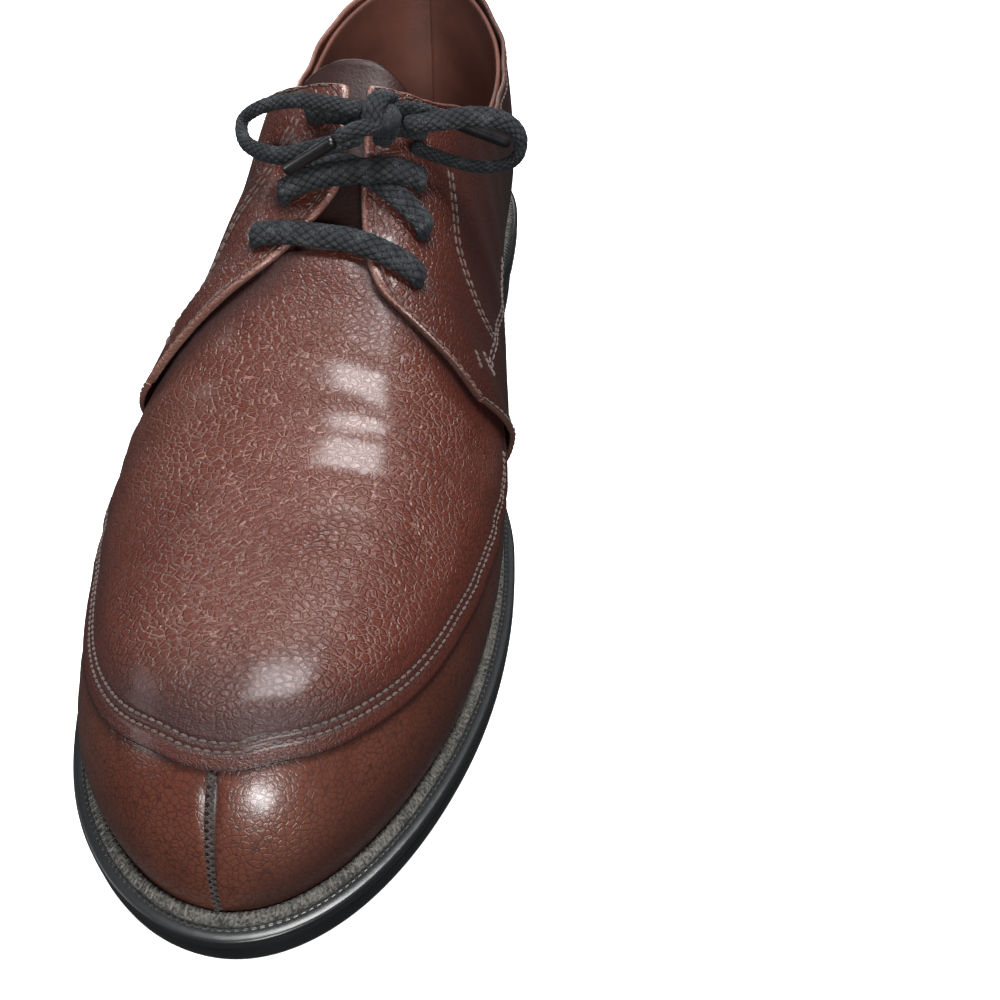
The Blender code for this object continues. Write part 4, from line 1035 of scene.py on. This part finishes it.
def slab(name, stations, levels, paint, stands):
    # Side wall through (grow, height) rows, and a cap of cross strips over the top and the bottom
    rows = [aroundLoop(stations, grow, height) for grow, height in levels]
    points = np.concatenate(rows)
    size, count = len(rows[0]), len(stations)
    index = np.arange(len(points)).reshape(len(rows), size)
    wrap = np.concatenate([index, index[:, :1]], 1)
    k = np.arange(1, count - (2 if stations[-1] >= 1 else 1))
    outerPlace, innerPlace = count - 1 - np.arange(count), (count - 1 + np.arange(count)) % size
    quads, tris = [gridQuads(wrap)], []
    for base, flip in ((0, 1), (index[-1, 0], -1)):
        cap = np.stack([outerPlace[k], outerPlace[k + 1], innerPlace[k + 1], innerPlace[k]], -1)[:, ::flip]
        quads.append(cap + base)
        tris.append(np.array([[outerPlace[0], outerPlace[1], innerPlace[1]]])[:, ::flip] + base)
        if stations[-1] >= 1:
            tris.append(np.array([[outerPlace[-2], outerPlace[-1], innerPlace[-2]]])[:, ::flip] + base)
    faces = [np.concatenate(quads), np.concatenate(tris)]
    obj = newObject(name, points, faceOut(points, faces), paint, stands)
    obj.data.set_sharp_from_angle(angle=np.radians(bottom["sharp"]))
    return obj


def makeInsole():
    # Slab inside the upper, its top edge rounded
    stations = alongFor(np.linspace(0, np.pi, 90))
    grow = 0 * stations - leather["upperWall"] - bottom["insolePlay"]
    low, high = seat(stations), seat(stations) + bottom["insoleThick"]
    levels = [(grow - 0.0008, high), (grow - 0.0002, high - 0.0002), (grow, high - 0.0008), (grow, low)]
    return slab("insoleBoard", stations, levels, finishes["insole"], ["insole"])


def makeWelt():
    # Bead of a half sine against the upper, then a flat lip, a groove under it and a rounded edge
    stations = alongFor(np.linspace(0, np.pi, 300))
    foot, reach = quarterFoot(stations), weltReach(stations)
    wide = reach - foot
    top = seat(stations) - leather["gap"]
    thick = bottom["weltThick"]
    profile = [(-bottom["weltInside"] + 0 * wide, top)]
    for share in np.linspace(0, 1, 11):
        bead = bottom["weltBead"] * np.sin(np.pi * share) * wide / bottom["weltReach"]
        over = (wide * bottom["beadShare"] + bottom["beadInside"]) * share
        profile.append((foot + over - bottom["beadInside"], top + bead))
    for share, drop in ((bottom["holeShare"], 0.10), (0.62, 0.04), (0.90, 0.07), (0.97, 0.13), (1.0, 0.25),
                        (1.0, 0.52), (0.975, 0.58), (0.975, 0.64), (1.0, 0.70), (1.0, 0.90), (0.95, 1.0)):
        profile.append((foot + wide * share, top - thick * drop))
    profile.append((-bottom["weltInside"] + 0 * wide, top - thick))
    rows = np.array([aroundLoop(stations, grow, height) for grow, height in profile])
    index = np.arange(rows[..., 0].size).reshape(rows.shape[:2])
    wrap = np.concatenate([index, index[:, :1]], 1)
    faces = [gridQuads(np.concatenate([wrap, wrap[:1]]))]
    points = rows.reshape(-1, 3)
    obj = newObject("weltRing", points, faceOut(points, faces), finishes["welt"], ["welt"])
    bead = np.zeros(rows.shape[:2])
    bead[2:11] = 1
    addAttribute(obj, "bead", bead)


def makeOutsole():
    # Slab under the welt with a rounded edge
    stations = alongFor(np.linspace(0, np.pi, 200))
    under = np.maximum(bottomLift(stations) - last["soleFlat"], 0)
    top = seat(stations) - 2 * leather["gap"] - bottom["weltThick"]
    reach = weltReach(stations) - bottom["soleInset"]
    levels = []
    for grow, share in ((-0.65, 1.0), (-0.2, 0.97), (0.0, 0.90), (0.18, 0.7), (0.25, 0.5), (0.12, 0.32),
                        (-0.15, 0.17), (-0.5, 0.06), (-1.0, 0.0)):
        levels.append((reach + grow * bottom["soleRound"], under * (1 - share) + top * share))
    return slab("outsoleEdge", stations, levels, finishes["sole"], ["outsole"])


def makeHeel():
    # Stacked lifts with a fine groove at each joint, drawn in a little towards the ground
    stations = alongFor(np.linspace(0, angleFor(bottom["heelBreast"]), 90))
    reach = weltReach(stations) - bottom["soleInset"] - bottom["heelInset"]
    under = np.maximum(bottomLift(stations) - last["soleFlat"], 0) - leather["gap"]
    foot = bottom["topPiece"] + leather["gap"]

    def level(height, nick=0.0):
        share = height / last["heelLift"]
        return reach - bottom["heelTaper"] * (1 - share) - nick, 0 * stations + height

    levels = [(reach - 0.0002, under)]
    for lift in bottom["heelLifts"]:
        for height, nick in ((0.0003, 0), (0.0001, 1), (-0.0001, 1), (-0.0003, 0)):
            grow = level(lift, nick * bottom["liftNick"])[0]
            levels.append((grow, np.minimum(0 * stations + lift + height, under - 0.0002)))
    levels.append(level(foot))
    slab("heelStack", stations, levels, finishes["heel"], ["heel"])
    levels = [level(bottom["topPiece"]), level(0.0008), level(0.0002, 0.0003), level(0.0, 0.0008)]
    slab("heelTopPiece", stations, levels, finishes["rubber"], ["top_piece"])


for side, sideName in ((-1, "outer"), (1, "inner")):
    makeLining(side, sideName)
    makeVamp(side, sideName)
quarters = {side: makeQuarter(side, name) for side, name in ((-1, "outer"), (1, "inner"))}
makeApron()
makeTongue()
print("leather made")
makeInsole()
makeWelt()
makeOutsole()
makeHeel()
print("bottom made")


# Laces
lace = {
    "width": 0.0060, "thick": 0.0030, "endThick": 0.0028, "cord": 0.0042,
    "hole": 0.0040, "holeThicker": 0.0004, "clear": 0.0004,
    "barArch": 0.0006, "overArch": 0.0026, "underArch": 0.0002,
    "dive": 0.0026, "depth": 0.0022,     # length and depth of the way into an eyelet
    "step": 0.00025,                     # between the rings of a cord
}
# Points of the bow, chosen from the photograph
knotCentre, knotSize = np.array((0.0169, 0.0025, 0.1138)), np.array((0.0046, 0.0052, 0.0036))
outerLoopPoints = ((0.0124, 0.0030, 0.1156), (0.0025, 0.0050, 0.1158), (-0.0060, 0.0080, 0.1145),
                   (-0.0146, 0.0109, 0.1110), (-0.0207, 0.0130, 0.1059), (-0.0175, 0.0050, 0.1042),
                   (-0.0078, -0.0017, 0.1052), (0.0022, -0.0018, 0.1078), (0.0128, -0.0005, 0.1111))
innerLoopPoints = ((0.0219, 0.0036, 0.1121), (0.0297, 0.0076, 0.1116), (0.0378, 0.0102, 0.1118),
                   (0.0448, 0.0123, 0.1099), (0.0486, 0.0134, 0.1054), (0.0472, 0.0130, 0.0997),
                   (0.0400, 0.0108, 0.0985), (0.0317, 0.0084, 0.1012), (0.0233, 0.0051, 0.1058))
frontEndPoints = ((0.0161, -0.0036, 0.1154), (0.0127, -0.0060, 0.1151), (0.0095, -0.0066, 0.1138),
                  (0.0079, -0.0068, 0.1127))
backEndPoints = ((0.0201, 0.0073, 0.1139), (0.0248, 0.0105, 0.1124), (0.0290, 0.0125, 0.1102),
                 (0.0330, 0.0140, 0.1080))
underKnotPoints = {-1: ((0.0060, 0.0075, 0.1118), (0.0130, 0.0040, 0.1122)),
                   1: ((0.0205, 0.0085, 0.1090), (0.0172, 0.0040, 0.1112), (0.0172, 0.0032, 0.1130))}


def barPath(first, second, arch, count=90):
    # From one eyelet over the ridge to the other, resting on the facings and diving in at both ends
    (alongA, upA), (alongB, upB) = first, second
    share = np.linspace(0, 1, count)
    reach = share * (2 - upA - upB)
    side = np.where(reach < 1 - upA, -1, 1)
    up = np.where(side < 0, upA + reach, 1 - (reach - (1 - upA)))
    along = alongA * (1 - share) + alongB * share
    flat = lastPoint(along, side, up)
    run = runAlong(flat)
    shown = ease(np.minimum(run, run[-1] - run) / lace["dive"])
    rest = lace["thick"] / 2 + lace["clear"] + arch * np.sin(np.pi * share)
    off = quarterOff(along, up) + rest * shown - lace["depth"] * (1 - shown)
    normal = lastNormal(along, side, up)
    path = flat + normal * off[:, None]
    path, normal, shown = resample(path, lace["step"], normal, np.stack([shown] * 3, -1))
    return path, unit(normal), shown[:, 0]


def makeBar(name, first, second, arch, stands):
    # A lace over the facings, wide on top and narrow where it goes into its eyelets
    path, face, shown = barPath(eyelets[-1][first], eyelets[1][second], arch)
    width = lace["hole"] + (lace["width"] - lace["hole"]) * shown
    thick = lace["thick"] + lace["holeThicker"] * (1 - shown)
    braidedCord(name, path, face, width[:, None], thick[:, None], finishes["lace"], stands)


makeBar("laceBarFront", 0, 0, lace["barArch"], ["lace_bar"])
makeBar("laceCrossUnder", 2, 1, lace["underArch"], ["lace_crossing"])
makeBar("laceCrossOver", 1, 2, lace["overArch"], ["lace_crossing"])


def looseCord(name, path, face, width, thick, stands):
    # A braided cord that lies loose
    obj = braidedCord(name, path, face, width, thick, finishes["lace"], stands)
    resample(path, 0.001)[0].tolist()


def makeLoop(name, points, first, widths, stands):
    # A loop of the bow through its points, its width changing along it
    path = throughPoints(points, lace["step"])
    face = turningFaces(path, first)
    share = np.linspace(0, 1, len(widths))
    width = np.interp(np.linspace(0, 1, len(path)), share, widths)[:, None]
    looseCord(name, path, face, width, lace["thick"], stands)


outerLoopWidths = (0.0042, 0.0040, 0.0038, 0.0036, 0.0040, 0.0044, 0.0042)
innerLoopWidths = (0.0042, 0.0050, 0.0054, 0.0046, 0.0038, 0.0038, 0.0040)
makeLoop("loopOuter", outerLoopPoints, (0, -0.5, 1), outerLoopWidths, ["bow_loop_outer"])
makeLoop("loopInner", innerLoopPoints, (-0.1, -0.7, 0.8), innerLoopWidths, ["bow_loop_inner"])


def makeKnot(name, stands, rows=24, columns=40):
    # Ellipsoid with its poles on X and a light weave all over it
    tilt = np.linspace(0.06, np.pi - 0.06, rows)[:, None]
    turn = np.arange(columns) * 2 * np.pi / columns
    weave = 1 + 0.05 * np.sqrt(np.abs(np.sin(5 * tilt * 2 + 4 * turn) * np.sin(5 * tilt * 2 - 4 * turn)))
    grid = np.stack([np.cos(tilt) * weave, np.sin(tilt) * np.cos(turn) * weave,
                     np.sin(tilt) * np.sin(turn) * weave], -1)
    pole = knotSize * (1, 0, 0)
    points, faces = cappedTube(grid * knotSize + knotCentre, [knotCentre + pole, knotCentre - pole])
    obj = newObject(name, points, faces, finishes["lace"], stands)
    addAttribute(obj, "plait", np.full(len(points), 0.6))
    return obj


knotCore = makeKnot("bowKnotCore", ["bow_knot"])
aglet = {"length": 0.0150, "radius": 0.00155, "taper": 0.10, "sides": 28}


def makeAglet(name, start, ahead, stands):
    # Plastic tube, a little thinner towards its tip and with a rounded rim at both ends
    share = np.linspace(0, 1, 40)
    rounded = np.sqrt(np.clip(1 - (2 * share - 1) ** 24, 0.02, 1))
    radius = aglet["radius"] * (1 - aglet["taper"] * share) * rounded
    path = start + np.outer(share * aglet["length"], ahead)
    _, across, normal = framesAlong(path, turningFaces(path, (0, 0, 1.0)))
    turn = np.arange(aglet["sides"]) * 2 * np.pi / aglet["sides"]
    rings = (path[:, None] + across[:, None] * (np.cos(turn) * radius[:, None])[..., None]
             + normal[:, None] * (np.sin(turn) * radius[:, None])[..., None])
    points, faces = cappedTube(rings, path[[0, -1]])
    return newObject(name, points, faces, finishes["aglet"], stands)


def makeFrontEnd():
    # One turn of lace round the knot, over its top and away to the front
    turn = np.radians(np.linspace(-120, 175, 60))
    ring = np.stack([np.sin(turn), np.sin(turn + 0.5), np.cos(turn + 0.5)], -1) * (0.0010, 0.0067, 0.0048)
    ring = knotCentre + ring
    ring = ring[::-1] if ring[-1, 1] > ring[0, 1] else ring
    path = throughPoints(np.concatenate([ring[:-6:6], np.array(frontEndPoints)]), lace["step"])
    face = turningFaces(path, path[0] - knotCentre)
    width = np.interp(np.linspace(0, 1, len(path)), (0, 0.55, 0.75, 1), (0.0052, 0.0054, 0.0044, 0.0034))
    piece = makeAglet("agletFront", path[-1], unit(path[-1] - path[-12]), ["aglet_front"])
    looseCord("endFront", path, face, width[:, None], lace["endThick"], ["lace_end_front"])


def risingFrom(side, height):
    # Two points of a lace at its side's top eyelet: inside the hole, and straight over that
    along, up = eyelets[side][3]
    normal = lastNormal(along, side, up)
    root = lastPoint(along, side, up) + normal * (quarterOff(along, up) - lace["depth"])
    return [root, root + normal * height]


def makeBackEnd():
    # From the inner top eyelet up under the knot, through it and away over the inner side
    points = risingFrom(1, 0.0040) + list(underKnotPoints[1]) + list(backEndPoints)
    path = throughPoints(np.array(points), lace["step"])
    face = turningFaces(path, (0.2, -0.4, 0.9))
    width = np.interp(np.linspace(0, 1, len(path)), (0, 0.4, 0.8, 1), (0.0040, 0.0050, 0.0042, 0.0034))
    piece = makeAglet("agletBack", path[-1], unit(path[-1] - path[-12]), ["aglet_back"])
    looseCord("endBack", path, face, width[:, None], lace["endThick"], ["lace_end_back"])


def makeOuterFeed():
    # From the outer top eyelet into the knot
    points = risingFrom(-1, 0.0042) + list(underKnotPoints[-1]) + [knotCentre]
    path = throughPoints(np.array(points), lace["step"])
    return braidedCord("laceFeedOuter", path, turningFaces(path, (0.2, -0.4, 0.9)), 0.0048, lace["endThick"],
                       finishes["lace"], ["bow_knot"])


makeFrontEnd()
makeBackEnd()
makeOuterFeed()
print("laces made")


# Stitching
stitch = {
    # length, gap and radius of one stitch of each kind, then the rows' distances
    "upper": (0.0022, 0.0006, 0.00034), "apron": (0.0015, 0.0005, 0.00036),
    "barTack": (0.0016, 0.0001, 0.00042), "seam": (0.0023, -0.0006, 0.00034),
    "welt": (0.0025, -0.0008, 0.00036), "hole": (0.0008, 0.0009, 0.00042),
    "topInset": 0.0026, "frontInset": 0.0024, "between": 0.0019, "frontFrom": 0.535,
}


def onQuarter(points, side):
    # Smooth line through listed (along, up) places on a quarter's outer face
    along, up = denser(np.array(points), 0.0015)
    normal = lastNormal(along, side, up)
    return lastPoint(along, side, up) + normal * quarterFace(along, side, up)[:, None], normal


def besides(path, face, distance):
    # The same line moved sideways over the leather
    across = unit(np.cross(face, np.gradient(path, axis=0)))
    return path + across * distance, face


quarterLines = {
    # along, up; one row per stitched line
    -1: ([(0.450, 0.836), (0.483, 0.748), (0.501, 0.642), (0.522, 0.560), (0.551, 0.503), (0.573, 0.478)],),
    1: ([(0.443, 0.597), (0.469, 0.585), (0.491, 0.553), (0.506, 0.465), (0.509, 0.390), (0.504, 0.308)],
        [(0.368, 0.195), (0.424, 0.214), (0.511, 0.327), (0.541, 0.346)]),
}
barTacks = ([(0.559, 0.484), (0.568, 0.447)], [(0.539, 0.403), (0.549, 0.371)])
shapes = []
for side, lines in quarterLines.items():
    for line in lines:
        path, face = onQuarter(line, side)
        shapes.append(stitchShapes(path, face, *stitch["upper"]))
        shapes.append(stitchShapes(*besides(path, face, stitch["between"]), *stitch["upper"]))
for line in barTacks:
    path, face = onQuarter(line, 1)
    shapes.append(stitchShapes(path, face, *stitch["barTack"]))
for side, sheet in quarters.items():
    front = sheet["places"][0][:, 0] > stitch["frontFrom"]
    shapes.append(stitchShapes(*insetPath(sheet, stitch["topInset"]), *stitch["upper"]))
    shapes.append(stitchShapes(*insetPath(sheet, stitch["frontInset"], False, front), *stitch["upper"]))
for row in apron["rows"]:
    shapes.append(stitchShapes(*apronInset(row, -apron["stitchSink"]), *stitch["apron"]))
stitchObject("upperStitching", shapes, finishes["darkThread"])


def ridgeSeam():
    # Sunk seam down the toe with crossed stitches, one pair every 1.7 mm
    along = 1 - 0.052 * (1 - np.linspace(0, 0.985, 120)) ** 2
    path = lastPoint(along, 1, 0 * along + 1.0)
    normal = lastNormal(along, 1, 0 * along + 0.999)
    path, normal = resample(path, 0.0003, normal)
    normal = unit(normal)
    obj = braidedCord("splitSeam", path - normal * 0.0011, normal, 0.0032, 0.0022, finishes["vamp"],
                      relief=0.0)
    for mark, value in (("tone", 0.85), ("worn", 0.1), ("edge", 0.01)):
        addAttribute(obj, mark, np.full(len(obj.data.vertices), value))
    ticks = []
    for lean, start in ((0.75, 0), (-0.75, 3)):
        ticks.append(stitchShapes(path[start:] + normal[start:] * 0.0001, normal[start:], *stitch["seam"],
                                  lean=lean))
    stitchObject("splitSeamStitching", ticks, finishes["seamThread"])


ridgeSeam()


def weltStitching():
    # Cross stitches over the bead, one every 1.7 mm, and a row of near-black beads between it and the lip,
    # painted shade standing for the stitch holes
    along = alongFor(np.linspace(0.0, np.pi, 700))
    foot, reach = quarterFoot(along), weltReach(along)
    low = seat(along) - leather["gap"]
    crown = low + bottom["weltBead"] * 0.86 * (reach - foot) / bottom["weltReach"]
    spans, holes = [], []
    for side in (-1, 1):
        beadMiddle = ((reach - foot) * bottom["beadShare"] - bottom["beadInside"]) / 2 + 0.0003
        middle = edgeLine(along, side, foot + beadMiddle)
        path = np.column_stack([middle, crown])
        face = np.zeros_like(path) + (0, 0, 1.0)
        spans.append(stitchShapes(path, face, *stitch["welt"], lean=1.2 * side, rise=0.0))
        # Painted shade of the welt's stitch holes, as near-black beads
        groove = edgeLine(along, side, foot + (reach - foot) * bottom["holeShare"])
        path = np.column_stack([groove, low - 0.0001])
        holes.append(stitchShapes(path, face, *stitch["hole"], rise=0.0))
    stitchObject("weltStitching", spans, finishes["weltThread"])
    stitchObject("weltHoles", holes, finishes["holeShade"])


weltStitching()
print("stitching made")


# Floor and light
studio = {"half": 6.0, "height": 5.0, "floorGlow": 0.80, "wallGlow": 1.00, "air": 0.055}


def makeStage():
    # A lit floor with a pale wall round it; neither lights the shoe nor shows in its gloss
    size, height = studio["half"], studio["height"]
    corners = [(-size, -size), (size, -size), (size, size), (-size, size)]
    low, high = [(x, y, 0) for x, y in corners], [(x, y, height) for x, y in corners]
    walls = [(k, (k + 1) % 4, (k + 1) % 4 + 4, k + 4) for k in range(4)]
    for name, glow, faces in (("floor", studio["floorGlow"], [(0, 1, 2, 3)]),
                              ("backdrop", studio["wallGlow"], walls)):
        look = Finish("pale" + name.title(), (0.90, 0.90, 0.90), 0.80, Specular_IOR_Level=0.1,
                      Emission_Color=(1.0, 1.0, 1.0, 1.0), Emission_Strength=glow)
        mesh = bpy.data.meshes.new(name)
        mesh.from_pydata(low + high if name == "backdrop" else low, [], faces)
        mesh.materials.append(look.material)
        obj = bpy.data.objects.new(name, mesh)
        bpy.context.scene.collection.objects.link(obj)
        obj.visible_diffuse = obj.visible_glossy = False
        obj.visible_shadow = name == "floor"


def makeLight(name, place, aim, size, power):
    # Soft rectangular lamp at one place, aimed at another
    data = bpy.data.lights.new(name, "AREA")
    data.shape, data.size, data.size_y = "RECTANGLE", size[0], size[1]
    data.energy = power
    light = bpy.data.objects.new(name, data)
    back = unit(np.array(place, float) - np.array(aim, float))
    right = unit(np.cross((0, 1, 0.001), back))
    turned = Matrix([[*row] for row in np.stack([right, np.cross(back, right), back], 1)]).to_4x4()
    light.matrix_world = Matrix.Translation(place) @ turned
    bpy.context.scene.collection.objects.link(light)


makeStage()
# name, place, aim, size and watts
makeLight("overhead", (0.15, 0.05, 1.00), (0, 0, 0.05), (0.58, 0.34), 17)
makeLight("frontWindow", (0.42, -1.12, 0.58), (0, -0.10, 0.04), (0.50, 0.24), 14)
makeLight("leftSide", (-1.00, -0.20, 0.55), (0, 0, 0.05), (0.40, 0.60), 3.0)
makeLight("rearFill", (-0.45, 1.25, 0.40), (0, 0.10, 0.05), (0.90, 0.50), 6.0)
world = bpy.data.worlds.new("studio")
bpy.context.scene.world = world
world.use_nodes = True
background = world.node_tree.nodes["Background"]
background.inputs["Color"].default_value = (1, 1, 1, 1)
background.inputs["Strength"].default_value = studio["air"]
bpy.context.scene.view_settings.view_transform = "Standard"
print("stage made")
